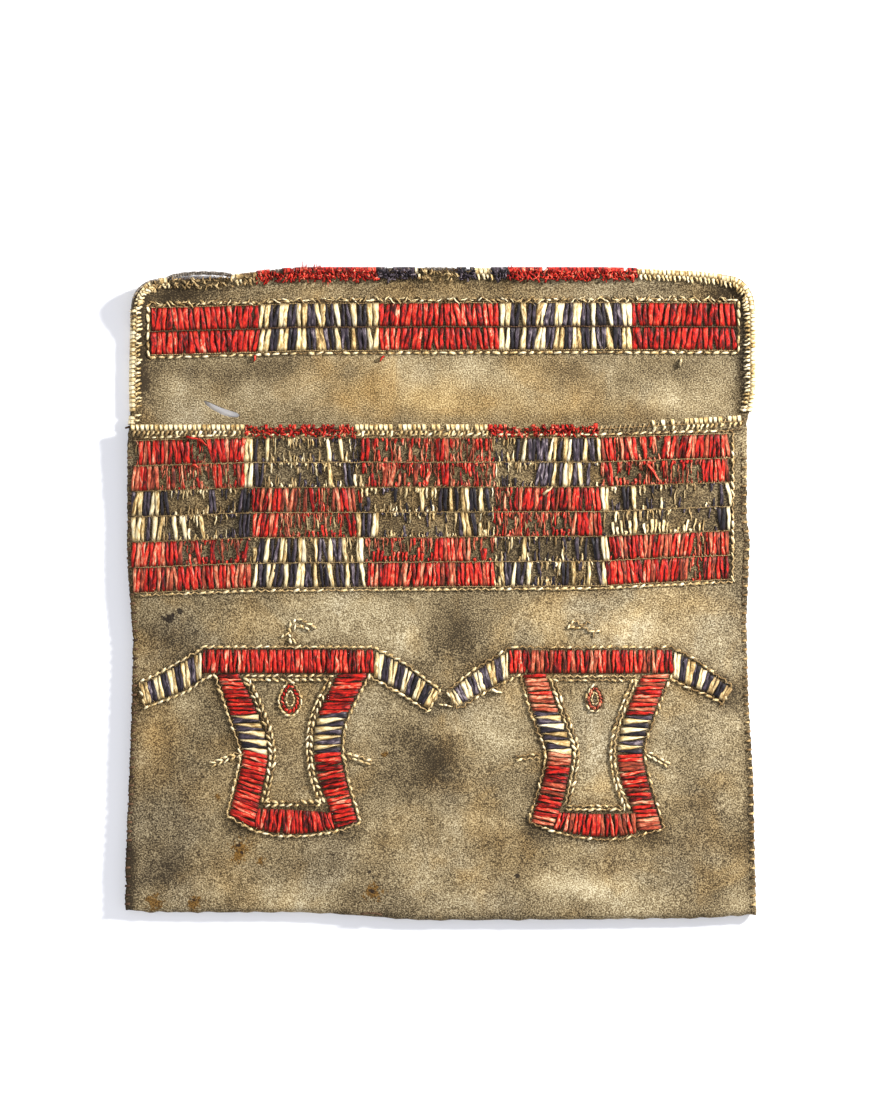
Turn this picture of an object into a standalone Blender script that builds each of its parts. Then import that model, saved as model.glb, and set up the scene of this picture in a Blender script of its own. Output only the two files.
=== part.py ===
"""A quilled hide pouch that lies on its back with its flap open.

One sheet of tanned hide is folded at the bottom, and its back runs on upwards as the flap.
The sides are whip-stitched, the rims are wrapped with quills, and bands of folded quills
cover the flap and the front. X runs across the pouch, Y towards the flap, Z off the table.
"""

import math

import bmesh
import bpy
import numpy as np
from mathutils import Vector

MM = 0.001

# The hide
HIDE_WIDTH = 196.0 * MM
POCKET_HEIGHT = 156.9 * MM
FLAP_HEIGHT = 50.0 * MM
HIDE_THICKNESS = 1.3 * MM
FLAP_CORNER = 8.0 * MM
BELLY = 5.2 * MM
RIM_LIFT = 0.9 * MM
RIM_LEVEL = 2.4 * MM
RIM_SLOPE = 4.8 * MM
SEAM_PARTING = 0.3 * MM
MOUTH_GAPE = 0.9 * MM
SLIT_LENGTH = 12.0 * MM
SLIT_WIDTH = 1.9 * MM
SLIT_BOW = 1.5 * MM
SLIT_FALL = 3.0 * MM
SLIT_FROM_LEFT = 29.0 * MM
SLIT_FROM_MOUTH = 5.0 * MM

# Places below are in mm on a pouch of this size: across it from its middle, along it from its mouth.
DRAWN_WIDTH = 196.0 * MM
DRAWN_HEIGHT = 156.9 * MM

# How far the hide's edges wander from straight, as (place, outward shift) in mm
LEFT_WANDER = [(-155, 2.2), (-138, 2.0), (-119, 1.2), (-94, 0.2), (-68, -0.4), (-42, 1.5), (-4, 1.4), (5, 0.3), (14, 0.5), (35, 0)]
RIGHT_WANDER = [(-155, 2.2), (-112, 1.2), (-87, -0.3), (-61, -1.0), (-36, 0.2), (-29, -0.8), (2, -0.8), (6, 0.6), (12, 1.6)]
TOP_WANDER = [(-98, -4.0), (-85, -2.8), (-69, -2.4), (-53, -0.5), (-45, 0), (51, 0), (67, -0.3), (83, -1.1), (98, -2.9)]
FOLD_WANDER = [(-98, -2.9), (-92, -2.4), (-45, -2.4), (-29, -1.6), (-8, 0), (51, 0), (83, -0.5), (98, -1.6)]
MOUTH_WANDER = [(-98, 0), (43, 0), (64, 1.2), (83, 2.2), (98, 3.1)]

# The folded quills, which lie in lanes between rows of thread
CLEARANCE = 0.3 * MM
STROKE_WIDTH = 1.6 * MM
STROKE_HIGH = 0.95 * MM
STROKE_LOW = 0.55 * MM
THREAD_WIDTH = 0.6 * MM
THREAD_HEIGHT = 0.28 * MM
STRIPE_PITCH = 5.6 * MM
BLUE_SHARE = 0.55
FLAT_ANGLE = math.radians(0.4)

# The flap's band
FLAP_LANE = 7.5 * MM
FLAP_BAND_DROP = 10.4 * MM
FLAP_BAND_LEFT = 6.1 * MM
FLAP_BAND_RIGHT = 5.6 * MM
FLAP_BLOCKS = (34.6, 38.1, 38.4, 42.2, 33.3)
FLAP_BAND_WANDER = [(-93, -1.6), (-58, -0.6), (-45, 0), (55, 0.2), (94, -0.1)]

# The chequer band under the mouth: three rows of five blocks, with two lanes in a block
CHEQUER_LANES = 6
CHEQUER_LANE = 7.9 * MM
CHEQUER_DROP = 3.5 * MM
CHEQUER_LEFT = 0.9 * MM
CHEQUER_RIGHT = 6.2 * MM
CHEQUER_BLOCKS = (38.3, 35.2, 41.7, 35.1, 40.1)
CHEQUER_WANDER = [(-98, -0.7), (-61, 0.2), (51, 0.2), (92, 1.5)]
LANE_WANDER = [(-98, 0.2), (-61, 0.1), (51, 0), (92, -0.17)]

# Where quills survive in each lane
SURVIVING = [
    [(-99, -80), (-74, -55), (-36, -30), (-26, -22), (-2, 3), (24, 51), (51, 65), (70, 92)],
    [(-99, -90), (-78, -56), (-46, -42), (-36, -26), (-20, -12), (0, 3), (30, 48), (51, 55), (83, 92)],
    [(-99, -86), (-74, -71), (-64, -60), (-60, -40), (-35, -27), (-1, 16), (20, 51), (51, 62), (88, 93)],
    [(-99, -84), (-64, -60), (-60, -46), (-41, -33), (-26, -19), (6, 11), (18, 24), (42, 51), (88, 93)],
    [(-99, -82), (-60, -43), (-40, -30), (-26, -21), (-10, -6), (-2, 16), (38, 51), (51, 80), (85, 92)],
    [(-99, -60), (-60, -25), (-25, 16), (17, 28), (38, 51), (51, 79), (84, 92)],
]

# The stretches of edging as (name, finish, where it ends), from left to right
FLAP_EDGING = [
    ("flap_edging_white_left", "white_quill", -87.0),
    ("rim_cord_loose", "cord", -66.5),
    ("flap_edging_cream", "cream_quill", -59.0),
    ("flap_edging_red_left", "red_quill", -21.0),
    ("flap_edging_blue_left", "blue_quill", -7.0),
    ("rim_cord_middle", "cord", 4.8),
    ("flap_edging_blue_right", "blue_quill", 21.1),
    ("flap_edging_red_right", "red_quill", 62.7),
]
FLAP_EDGING_LAST = ("flap_edging_white_right", "white_quill")
FLAP_EDGING_START = 1.5 * MM
FLAP_EDGING_END = 4.0 * MM
MOUTH_EDGING = [
    ("mouth_edging_white_left", "white_quill", -62.4),
    ("mouth_edging_red_left", "red_quill", -27.0),
    ("mouth_edging_white_middle", "white_quill", 15.2),
    ("mouth_edging_red_right", "red_quill", 43.4),
    ("mouth_edging_bare_thread", "thread", 64.0),
    ("mouth_edging_white_right", "white_quill", 97.4),
]
MOUTH_EDGING_INSET = 1.0 * MM

# Quills wrapped over the rims
WRAP_PITCH = 2.8 * MM
WRAP_DEPTH = 1.9 * MM
MOUTH_WRAP_DEPTH = 2.2 * MM
WRAP_HIGH = 0.6 * MM
WRAP_LOW = 0.25 * MM
WRAP_JOINT = 0.3 * MM
JOINT_ROOM = 0.2 * MM
CORD_RADIUS = 0.5 * MM
CORD_STAND_OFF = 1.9 * MM

# The side seams
SEAM_PITCH = 2.9 * MM
SEAM_LAP = 0.2 * MM
SEAM_HIGH = 0.5 * MM
SEAM_LOW = 0.2 * MM
SEAM_FROM_FOLD = 4.5 * MM
SEAM_FROM_MOUTH = 5.0 * MM

# Beaded outlines, each a low ridge of short quill turns
BEAD_WIDTH = 1.0 * MM
BEAD_HEIGHT = 0.7 * MM
BEAD_OFFSET = 1.0 * MM
WING_TIP_ROOM = 1.5 * MM
BEAD_STEP = 8.0 * MM
BEAD_REACH = 12.0 * MM
DOUBLE_SPACING = 1.3 * MM
FEATHER_SPACING = 1.5 * MM

# The two figures, drawn in mm from the middle of the upper edge of the bar
FIGURE_SIZE = 1.0
FIGURE_DROP = 19.7 * MM
FIGURE_SPACING = 96.2
FIGURE_SHIFT = -0.4
WAIST_TOP = -20.0
WAIST_BOTTOM = -33.5
WAIST_STRIPE_PITCH = 4.5
PENDANT_RADIUS = 2.5 * MM
PENDANT_STRETCH = 1.6
LEFT_FIGURE = {
    "bar": ([(-27.2, 0), (27.2, 0)], [(-27.2, -7.2), (27.2, -7.2)]),
    "wing_left": (
        [(-28.2, -1.6), (-34.7, -4.8), (-41.1, -8.3), (-47.2, -11.2)],
        [(-27.8, -9.6), (-33.1, -12.8), (-39.5, -15.4), (-45.9, -17.8)],
    ),
    "wing_right": (
        [(28.2, -0.9), (35.7, -4.5), (42.1, -9.6), (46.4, -12.9)],
        [(27.8, -9.4), (32.6, -11.2), (38.5, -14.9), (43.6, -18.1)],
    ),
    "side_left": (
        [(-22.4, -8.2), (-18.1, -21.4), (-14.7, -31.5), (-15.2, -38.4), (-18.9, -53.0)],
        [(-15.6, -8.2), (-10.4, -18.9), (-6.8, -30.0), (-7.0, -38.0), (-9.6, -49.6)],
    ),
    "side_right": (
        [(15.6, -8.2), (9.8, -20.5), (8.2, -30.0), (9.2, -40.0), (13.8, -52.6)],
        [(25.0, -8.2), (18.4, -21.5), (16.7, -30.5), (18.0, -40.0), (22.0, -54.0)],
    ),
    "tail": (
        [(-8.6, -50.9), (2.0, -51.0), (12.2, -52.2)],
        [(-15.4, -55.8), (-8.0, -57.9), (1.0, -58.9), (10.0, -58.4), (20.2, -56.6)],
    ),
    "head": [(-0.5, 3.6), (-0.9, 7.2), (2.6, 9.4), (6.2, 8.2), (8.0, 6.0)],
    "feather_left": [(-14.6, -34.2), (-24.3, -37.3)],
    "feather_right": [(17.0, -34.2), (26.0, -35.9)],
    "pendant": (0.5, -15.8),
}
RIGHT_FIGURE = {
    "bar": ([(-25.6, 0), (25.9, 0)], [(-25.6, -7.2), (25.9, -7.2)]),
    "wing_left": (
        [(-26.6, -1.0), (-33.3, -4.8), (-39.7, -8.6), (-44.6, -12.3)],
        [(-26.3, -9.3), (-31.0, -11.4), (-36.5, -14.1), (-42.4, -17.6)],
    ),
    "wing_right": (
        [(26.8, -1.0), (32.3, -3.5), (39.0, -8.2), (45.2, -12.4)],
        [(26.6, -9.2), (31.7, -11.4), (37.1, -13.6), (42.4, -16.6)],
    ),
    "side_left": (
        [(-21.4, -8.2), (-18.3, -20.0), (-14.0, -31.0), (-14.4, -38.7), (-18.4, -54.0)],
        [(-14.1, -8.2), (-10.3, -19.5), (-6.3, -31.0), (-6.8, -38.7), (-9.3, -50.8)],
    ),
    "side_right": (
        [(16.3, -8.2), (11.2, -20.5), (8.6, -31.0), (9.6, -41.0), (14.2, -52.0)],
        [(25.0, -8.2), (20.0, -20.5), (16.6, -31.0), (18.0, -41.0), (22.2, -54.2)],
    ),
    "tail": (
        [(-8.3, -52.0), (2.0, -52.4), (12.6, -52.6)],
        [(-14.6, -56.4), (-6.1, -58.8), (3.5, -59.9), (12.0, -59.2), (20.0, -57.2)],
    ),
    "head": [(-3.6, 3.6), (-6.0, 7.4), (-2.6, 9.2), (0.6, 8.0), (3.2, 6.2)],
    "feather_left": [(-14.3, -34.6), (-23.7, -34.8)],
    "feather_right": [(16.9, -34.0), (25.9, -36.8)],
    "pendant": (1.3, -15.4),
}

# Mesh density of the hide
RIM_STEPS = [0, RIM_LEVEL, RIM_LEVEL + RIM_SLOPE / 2, RIM_LEVEL + RIM_SLOPE]
INNER_COLUMNS = 7
CORNER_STEPS = 4
FLAP_ROWS = 3
FOLD_STEPS = 4
PENDANT_SIDES = 10
POCKET_ROWS = [0, 0.06, 0.15, 0.28, 0.45, 0.63, 0.79, 0.91, 1]

# The whole pouch is centred, wraps included.
Y_FOLD = -(POCKET_HEIGHT + FLAP_HEIGHT + CLEARANCE + WRAP_HIGH) / 2
Y_MOUTH = Y_FOLD + POCKET_HEIGHT
Y_TOP = Y_MOUTH + FLAP_HEIGHT
SEAM_GROUND = RIM_LIFT + HIDE_THICKNESS + SEAM_PARTING
FOLD_REACH = (SEAM_GROUND + HIDE_THICKNESS) / 2


def clear_scene():
    for item in list(bpy.data.objects):
        bpy.data.objects.remove(item, do_unlink=True)


def finish(name, colour, roughness):
    """A plain material for one kind of surface."""
    made = bpy.data.materials.new(name)
    made.use_nodes = True
    shader = made.node_tree.nodes["Principled BSDF"]
    shader.inputs["Base Color"].default_value = (*colour, 1)
    shader.inputs["Roughness"].default_value = roughness
    shader.inputs["Metallic"].default_value = 0.0
    made.diffuse_color = (*colour, 1)
    return made


def add_piece(name, bm, materials, parent, smooth=None):
    """One named object from a bmesh, with its origin at the middle of the piece."""
    bmesh.ops.recalc_face_normals(bm, faces=bm.faces)
    points = np.array([v.co for v in bm.verts])
    middle = Vector((points.min(axis=0) + points.max(axis=0)) / 2)
    bmesh.ops.translate(bm, verts=bm.verts, vec=-middle)
    mesh = bpy.data.meshes.new(name)
    bm.to_mesh(mesh)
    bm.free()
    piece = bpy.data.objects.new(name, mesh)
    bpy.context.scene.collection.objects.link(piece)
    piece.location = middle
    piece.parent = parent
    for material in materials:
        mesh.materials.append(material)
    if smooth:
        mesh.shade_smooth()
        mesh.set_sharp_from_angle(angle=smooth)
    return piece


def ease(t):
    """0 to 1 with level ends."""
    t = min(max(t, 0.0), 1.0)
    return t * t * (3 - 2 * t)


def across(place):
    """A drawn place across the pouch, at the pouch's own width."""
    return place * MM * HIDE_WIDTH / DRAWN_WIDTH


def wander(points, place):
    """How far an edge has wandered outwards at a drawn place."""
    places, shifts = zip(*points)
    return float(np.interp(place / MM, places, shifts)) * MM


def wander_across(points, x):
    return wander(points, x * DRAWN_WIDTH / HIDE_WIDTH)


def wander_along(points, y):
    return wander(points, (y - Y_MOUTH) * DRAWN_HEIGHT / POCKET_HEIGHT)


# The hide's five edges
def left_edge(y):
    return -HIDE_WIDTH / 2 - wander_along(LEFT_WANDER, y)


def right_edge(y):
    return HIDE_WIDTH / 2 + wander_along(RIGHT_WANDER, y)


def top_edge(x):
    return Y_TOP + wander_across(TOP_WANDER, x)


def fold_edge(x):
    return Y_FOLD - wander_across(FOLD_WANDER, x)


def mouth_edge(x):
    return Y_MOUTH + wander_across(MOUTH_WANDER, x)


def inset_from_rim(x, y):
    """How far inside the flap's and the sides' edges a point lies, round corners included."""
    to_left, to_right, to_top = x - left_edge(y), right_edge(y) - x, top_edge(x) - y
    to_side = min(to_left, to_right)
    if to_side < FLAP_CORNER and to_top < FLAP_CORNER:
        return FLAP_CORNER - math.hypot(FLAP_CORNER - to_side, FLAP_CORNER - to_top)
    return min(to_side, to_top)


def back_low(x, y):
    """The underside of the back and the flap: flat, and lifted a little by the wraps at the rims."""
    return RIM_LIFT * ease(1 - (inset_from_rim(x, y) - RIM_LEVEL) / RIM_SLOPE)


def front_low(x, y):
    """The inside face of the front, which bellies out between the seams and gapes at the mouth."""
    left, right = left_edge(y), right_edge(y)
    across = min(abs((2 * x - left - right) / (right - left)), 1.0)
    up = (y - fold_edge(x)) / (mouth_edge(x) - fold_edge(x))
    up = min(max(up, 0.0), 1.0)
    bulge = (1 - across**2.5) * (1 - (1 - up) ** 3) * (1 - 0.1 * up**4)
    return SEAM_GROUND + MOUTH_GAPE * ease((up - 0.82) / 0.18) + BELLY * bulge


def flap_face(x, y):
    return back_low(x, y) + HIDE_THICKNESS


def front_face(x, y):
    return front_low(x, y) + HIDE_THICKNESS


def row_places(y, inset=0.0):
    """Where the sheet's columns stand across the pouch: close together near the edges."""
    left, right = left_edge(y) + inset, right_edge(y) - inset
    rim = RIM_STEPS[-1]
    inner = list(np.linspace(left + rim, right - rim, INNER_COLUMNS + 1))[1:-1]
    return [left + d for d in RIM_STEPS] + inner + [right - d for d in reversed(RIM_STEPS)]


def sheet_row(low_edge, high_edge, share, low_face):
    """A row of the sheet's middle surface, a share of the way from one edge line to another."""
    row = []
    for column, x in enumerate(row_places(Y_TOP)):
        for _ in range(3):
            y = low_edge(x) * (1 - share) + high_edge(x) * share
            x = row_places(y)[column]
        row.append((x, y, low_face(x, y) + HIDE_THICKNESS / 2))
    return row


def bend_edge(x):
    """Where the round of the fold ends and the flat sheet starts."""
    return fold_edge(x) + FOLD_REACH


def corner_edge(x):
    return top_edge(x) - FLAP_CORNER


def pocket_rows(low_face):
    return [sheet_row(bend_edge, mouth_edge, share, low_face) for share in POCKET_ROWS]


def hide_rows():
    """The sheet's middle surface as rows of points, from the flap's top round the fold to the mouth."""
    half = HIDE_THICKNESS / 2
    rows = []
    for step in range(CORNER_STEPS + 1):
        angle = math.pi / 2 * step / CORNER_STEPS
        inset, down = FLAP_CORNER * (1 - math.sin(angle)), FLAP_CORNER * (1 - math.cos(angle))
        row = []
        for x in row_places(Y_TOP - down, inset):
            y = top_edge(x) - down
            row.append((x, y, back_low(x, y) + half))
        rows.append(row)
    rows += [sheet_row(corner_edge, mouth_edge, i / FLAP_ROWS, back_low) for i in range(1, FLAP_ROWS)]
    rows += reversed(pocket_rows(back_low))
    last = rows[-1]
    for i in range(1, FOLD_STEPS):
        turn = math.pi * i / FOLD_STEPS
        row = []
        for x, y, low in last:
            radius = (front_low(x, fold_edge(x)) + half - low) / 2
            row.append((x, y - (FOLD_REACH - half) * math.sin(turn), low + radius * (1 - math.cos(turn))))
        rows.append(row)
    return rows + pocket_rows(front_low)


def make_hide(material, parent):
    """The folded sheet: its middle surface as a grid, given its thickness, with the slit cut through."""
    bm = bmesh.new()
    rows = [[bm.verts.new(point) for point in row] for row in hide_rows()]
    for above, below in zip(rows, rows[1:]):
        for i in range(len(above) - 1):
            bm.faces.new((above[i], below[i], below[i + 1], above[i + 1]))
    hide = add_piece("hide_body", bm, [material], parent, smooth=math.radians(40))
    wall = hide.modifiers.new("Thickness", "SOLIDIFY")
    wall.thickness = HIDE_THICKNESS
    wall.offset = 0.0
    wall.use_even_offset = True
    cut = hide.modifiers.new("Slit", "BOOLEAN")
    cut.operation = "DIFFERENCE"
    cut.solver = "EXACT"
    cut.object = make_slit_cutter(parent)
    return hide


def make_slit_cutter(parent):
    """A crescent through the flap, bowed towards the mouth."""
    left = -HIDE_WIDTH / 2 + SLIT_FROM_LEFT - SLIT_LENGTH / 2
    base = Y_MOUTH + SLIT_FROM_MOUTH
    steps = 6
    upper, lower = [], []
    for i in range(steps + 1):
        t = i / steps
        dip = base + SLIT_BOW * (2 * t - 1) ** 2 - SLIT_FALL * (t - 0.5)
        wide = SLIT_WIDTH / 2 * math.sin(math.pi * t)
        upper.append((left + SLIT_LENGTH * t, dip + wide))
        lower.append((left + SLIT_LENGTH * t, dip - wide))
    outline = upper + lower[-2:0:-1]
    bm = bmesh.new()
    face = bm.faces.new([bm.verts.new((x, y, -HIDE_THICKNESS)) for x, y in outline])
    grown = bmesh.ops.extrude_face_region(bm, geom=[face])
    risen = [g for g in grown["geom"] if isinstance(g, bmesh.types.BMVert)]
    bmesh.ops.translate(bm, verts=risen, vec=(0, 0, 3 * HIDE_THICKNESS))
    cutter = add_piece("slit_cutter", bm, [], parent)
    cutter.hide_render = True
    cutter.display_type = "WIRE"
    return cutter


def curve_through(points, count=24):
    """A smooth plane curve through hand-chosen points, as evenly spaced points in metres."""
    knots = [Vector(p) for p in points]
    ends = [2 * knots[0] - knots[1]] + knots + [2 * knots[-1] - knots[-2]]
    fine = []
    for a, b, c, d in zip(ends, ends[1:], ends[2:], ends[3:]):
        for i in range(count):
            t = i / count
            bend = 2 * a - 5 * b + 4 * c - d
            turn = -a + 3 * b - 3 * c + d
            fine.append(b + 0.5 * t * ((c - a) + t * (bend + t * turn)))
    fine.append(knots[-1])
    return fine


def reach_along(line):
    """The distance from a line's start to each of its points, seen from above."""
    steps = [(b - a).xy.length for a, b in zip(line, line[1:])]
    return np.concatenate([[0.0], np.cumsum(steps)])


def point_at(line, share):
    """The point a given share of the way along a line."""
    reach = reach_along(line)
    place = share * reach[-1]
    return Vector([float(np.interp(place, reach, [p[i] for p in line])) for i in range(len(line[0]))])


def merge_flat(bm):
    """Joins neighbouring faces that lie in one plane."""
    bmesh.ops.recalc_face_normals(bm, faces=bm.faces)
    bm.normal_update()
    bmesh.ops.dissolve_limit(bm, angle_limit=FLAT_ANGLE, verts=bm.verts, edges=bm.edges)


def seat(bm, face, pieces):
    """Bends a flat piece onto a curved face in a few flat stretches, just clear of it."""
    points = np.array([v.co for v in bm.verts])
    low, high = points.min(axis=0), points.max(axis=0)
    along = 0 if high[0] - low[0] > high[1] - low[1] else 1
    other = 1 - along
    middle = (low + high) / 2

    def height(place, side):
        at = [0.0, 0.0]
        at[along], at[other] = place, side
        return face(*at)

    knots = np.linspace(low[along], high[along], pieces + 1)
    heights = [height(k, middle[other]) for k in knots]
    slope = height(middle[along], high[other]) - height(middle[along], low[other])
    slope /= high[other] - low[other]

    def bed(p):
        return float(np.interp(p[along], knots, heights)) + slope * (p[other] - middle[other])

    ground = max(face(p[0], p[1]) - bed(p) for p in points) + CLEARANCE
    for vert in bm.verts:
        vert.co.z += bed(vert.co) + ground


def quill_block(name, first, last, lanes, survives, paint, materials, face, parent, pieces=2, threads=True):
    """Lanes of quills folded to and fro between rows of thread, from one line to another.

    survives(lane, x) says where quills are left. Where none is, only the rows of thread remain.
    """
    length = (reach_along(first)[-1] + reach_along(last)[-1]) / 2
    strokes = max(2, round(length / STROKE_WIDTH))
    bm = bmesh.new()
    row_of, column_of = bm.verts.layers.int.new("row"), bm.verts.layers.int.new("column")
    stroke_of = bm.faces.layers.int.new("stroke")
    grid = []
    for column in range(strokes + 1):
        start, end = point_at(first, column / strokes), point_at(last, column / strokes)
        side = (end - start).normalized()
        span = (end - start).length
        places = [CLEARANCE / 2]
        for row_of_thread in range(lanes + 1 if threads else 0):
            on_line = min(max(span * row_of_thread / lanes, THREAD_WIDTH / 2), span - THREAD_WIDTH / 2)
            places += [on_line - THREAD_WIDTH / 2, on_line + THREAD_WIDTH / 2]
        places += [span - CLEARANCE / 2]
        if threads:
            places = [places[0], *places[2:-2], places[-1]]
        line = []
        for row, place in enumerate(places):
            vert = bm.verts.new((*(start + side * place), 0))
            vert[row_of], vert[column_of] = row, column
            line.append(vert)
        grid.append(line)
    for column in range(strokes):
        for row in range(len(grid[0]) - 1):
            corners = (grid[column][row], grid[column + 1][row], grid[column + 1][row + 1], grid[column][row + 1])
            is_lane = row % 2 == 1 or not threads
            middle = sum((v.co for v in corners), Vector()) / 4
            if is_lane and not survives(row // 2, middle.x):
                continue
            cell = bm.faces.new(corners)
            cell[stroke_of] = is_lane
            cell.material_index = paint(middle) if is_lane else len(materials) - 1
    risen = bmesh.ops.extrude_face_region(bm, geom=list(bm.faces))
    if threads:
        for item in risen["geom"]:
            if isinstance(item, bmesh.types.BMVert):
                item.co.z = THREAD_HEIGHT
        quilled = [f for f in risen["geom"] if isinstance(f, bmesh.types.BMFace) and f[stroke_of]]
        edges = list(dict.fromkeys(e for f in quilled for e in f.edges))
        risen = bmesh.ops.extrude_face_region(bm, geom=quilled + edges)
    tops = [f for f in risen["geom"] if isinstance(f, bmesh.types.BMFace)]
    for item in risen["geom"]:
        if isinstance(item, bmesh.types.BMVert):
            # Fold points alternate: a stroke runs from a high one to the next across the lane.
            high = (item[column_of] + item[row_of]) % 2 == 0
            item.co.z = STROKE_HIGH if high else STROKE_LOW
    for top in tops:
        ridge = [v for v in top.verts if v.co.z > (STROKE_HIGH + STROKE_LOW) / 2]
        bmesh.utils.face_split(top, ridge[0], ridge[1])
    seat(bm, face, pieces)
    merge_flat(bm)
    return add_piece(name, bm, materials, parent)


def bead_line(name, path, closed, ridges, material, face, parent):
    """A row, or two side by side, of short quill turns along a path, as a low ridge."""
    if ridges == 1:
        profile = [(-BEAD_WIDTH / 2, 0), (0, BEAD_HEIGHT), (BEAD_WIDTH / 2, 0)]
    else:
        half = DOUBLE_SPACING / 2
        edge = half + BEAD_WIDTH / 2
        profile = [(-edge, 0), (-half, BEAD_HEIGHT), (0, BEAD_HEIGHT / 3), (half, BEAD_HEIGHT), (edge, 0)]
    bm = bmesh.new()
    rings = []
    for i, here in enumerate(path):
        before = path[i - 1] if i or closed else here
        after = path[(i + 1) % len(path)] if i + 1 < len(path) or closed else here
        ahead, back = after - here, here - before
        ahead = ahead.normalized() if ahead.length else back.normalized()
        back = back.normalized() if back.length else ahead
        tangent = (ahead + back).normalized()
        side = Vector((-tangent.y, tangent.x))
        mitre = 1 / max(tangent.dot(ahead), 0.6)
        ring = []
        for offset, height in profile:
            place = here + side * offset * mitre
            ground = max(face(*place), face(*here)) + CLEARANCE
            ring.append(bm.verts.new((*place, ground + height)))
        rings.append(ring)
    if closed:
        rings.append(rings[0])
    for one, two in zip(rings, rings[1:]):
        for k in range(len(profile)):
            m = (k + 1) % len(profile)
            bm.faces.new((one[k], one[m], two[m], two[k]))
    if not closed:
        bm.faces.new(rings[0])
        bm.faces.new(rings[-1])
    return add_piece(name, bm, [material], parent)


def spaced(path, step, closed=False):
    """A path with points added so that no stretch is longer than the step."""
    ends = path[1:] + ([path[0]] if closed else [])
    dense = []
    for a, b in zip(path, ends):
        parts = max(1, math.ceil((b - a).length / step))
        dense += [a.lerp(b, i / parts) for i in range(parts)]
    return dense if closed else dense + [path[-1]]


def moved_out(path, distance):
    """An open path shifted to its left side, with mitred corners."""
    out = []
    for i, here in enumerate(path):
        ahead = (path[min(i + 1, len(path) - 1)] - path[max(i - 1, 0)]).normalized()
        out.append(here + Vector((-ahead.y, ahead.x)) * distance)
    return out


def ridged_strip(sections, corner, ridges):
    """A closed strip through sections, with one corner of it drawn out to a ridge between each two."""
    bm = bmesh.new()
    rings = [[bm.verts.new(point) for point in section] for section in sections]
    count = len(rings[0])
    before, after = (corner - 1) % count, (corner + 1) % count
    for one, two, ridge in zip(rings, rings[1:], ridges):
        peak = bm.verts.new(ridge)
        for k in range(count):
            m = (k + 1) % count
            if k not in (before, corner):
                bm.faces.new((one[k], one[m], two[m], two[k]))
        for side in (before, after):
            bm.faces.new((one[side], one[corner], peak))
            bm.faces.new((one[side], peak, two[side]))
            bm.faces.new((two[side], peak, two[corner]))
    for end in (rings[0], rings[-1]):
        bm.faces.new(end)
    merge_flat(bm)
    return bm


def wrap_run(name, edge, out_of, depth, rises, material, parent):
    """Quills or thread wrapped over an edge: a U-shaped strip with a ridge for every turn.

    The edge's points hold its place and the heights of its two faces. rises are the strip's
    thickness on a ridge and between two ridges.
    """
    turns = max(1, round(reach_along(edge)[-1] / WRAP_PITCH))
    thick, thin = rises
    sections, ridges = [], []
    for i in range(2 * turns + 1):
        here = point_at(edge, i / (2 * turns))
        out = out_of(here.xy)
        ceiling, floor = here.w + CLEARANCE, here.z - CLEARANCE
        if i % 2:
            ridges.append((*(here.xy + out * (CLEARANCE + thick)), ceiling + thick))
            continue
        section = [
            (-depth, ceiling + thin),
            (CLEARANCE + thin, ceiling + thin),
            (CLEARANCE + thin, floor - thin),
            (-depth, floor - thin),
            (-depth, floor),
            (CLEARANCE, floor),
            (CLEARANCE, ceiling),
            (-depth, ceiling),
        ]
        sections.append([(*(here.xy + out * n), z) for n, z in section])
    return add_piece(name, ridged_strip(sections, 1, ridges), [material], parent)


def seam_run(name, edge, sign, material, parent):
    """Whip-stitches over two edges together: a wedge along them with a ridge for every stitch."""
    turns = max(1, round(reach_along(edge)[-1] / SEAM_PITCH))
    sections, ridges = [], []
    for i in range(2 * turns + 1):
        here = point_at(edge, i / (2 * turns))
        near, middle = here.x + sign * CLEARANCE, (here.z + here.w) / 2
        if i % 2:
            ridges.append((near + sign * SEAM_HIGH, here.y, middle))
            continue
        section = [(near, here.w + SEAM_LAP), (near + sign * SEAM_LOW, middle), (near, here.z - SEAM_LAP)]
        sections.append([(x, here.y, z) for x, z in section])
    return add_piece(name, ridged_strip(sections, 1, ridges), [material], parent)


def edge_points(row_points):
    """Points of the hide's middle surface as place and the heights of the two faces."""
    half = HIDE_THICKNESS / 2
    return [Vector((x, y, z - half, z + half)) for x, y, z in row_points]


def flap_rim():
    """The flap's edge from the left side, round both corners, to the right side, at the hide's own points."""
    rows = hide_rows()[: CORNER_STEPS + FLAP_ROWS + 1]
    left, right = [row[0] for row in reversed(rows)], [row[-1] for row in rows]
    return edge_points(left + rows[0][1:-1] + right)


def outward(path):
    """The direction out of a clockwise edge, for any point on it."""
    reach = [((a + b).xy / 2, (b - a).xy.normalized()) for a, b in zip(path, path[1:])]

    def direction(point):
        near = sorted(reach, key=lambda item: (item[0] - point).length)[:2]
        along = (near[0][1] + near[1][1]).normalized()
        return Vector((-along.y, along.x))

    return direction


def stretch(path, start, end):
    """The part of a path between two distances from its start."""
    reach = reach_along(path)
    inner = [p for p, r in zip(path, reach) if start + JOINT_ROOM < r < end - JOINT_ROOM]
    return [point_at(path, start / reach[-1])] + inner + [point_at(path, end / reach[-1])]


def reach_at_x(path, x):
    """The distance along a rim at which it passes a given place across the pouch."""
    reach = reach_along(path)
    top = [(p.x, r) for p, r in zip(path, reach) if p.y > Y_TOP - FLAP_CORNER * 0.8]
    return float(np.interp(x, [t[0] for t in top], [t[1] for t in top]))


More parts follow.
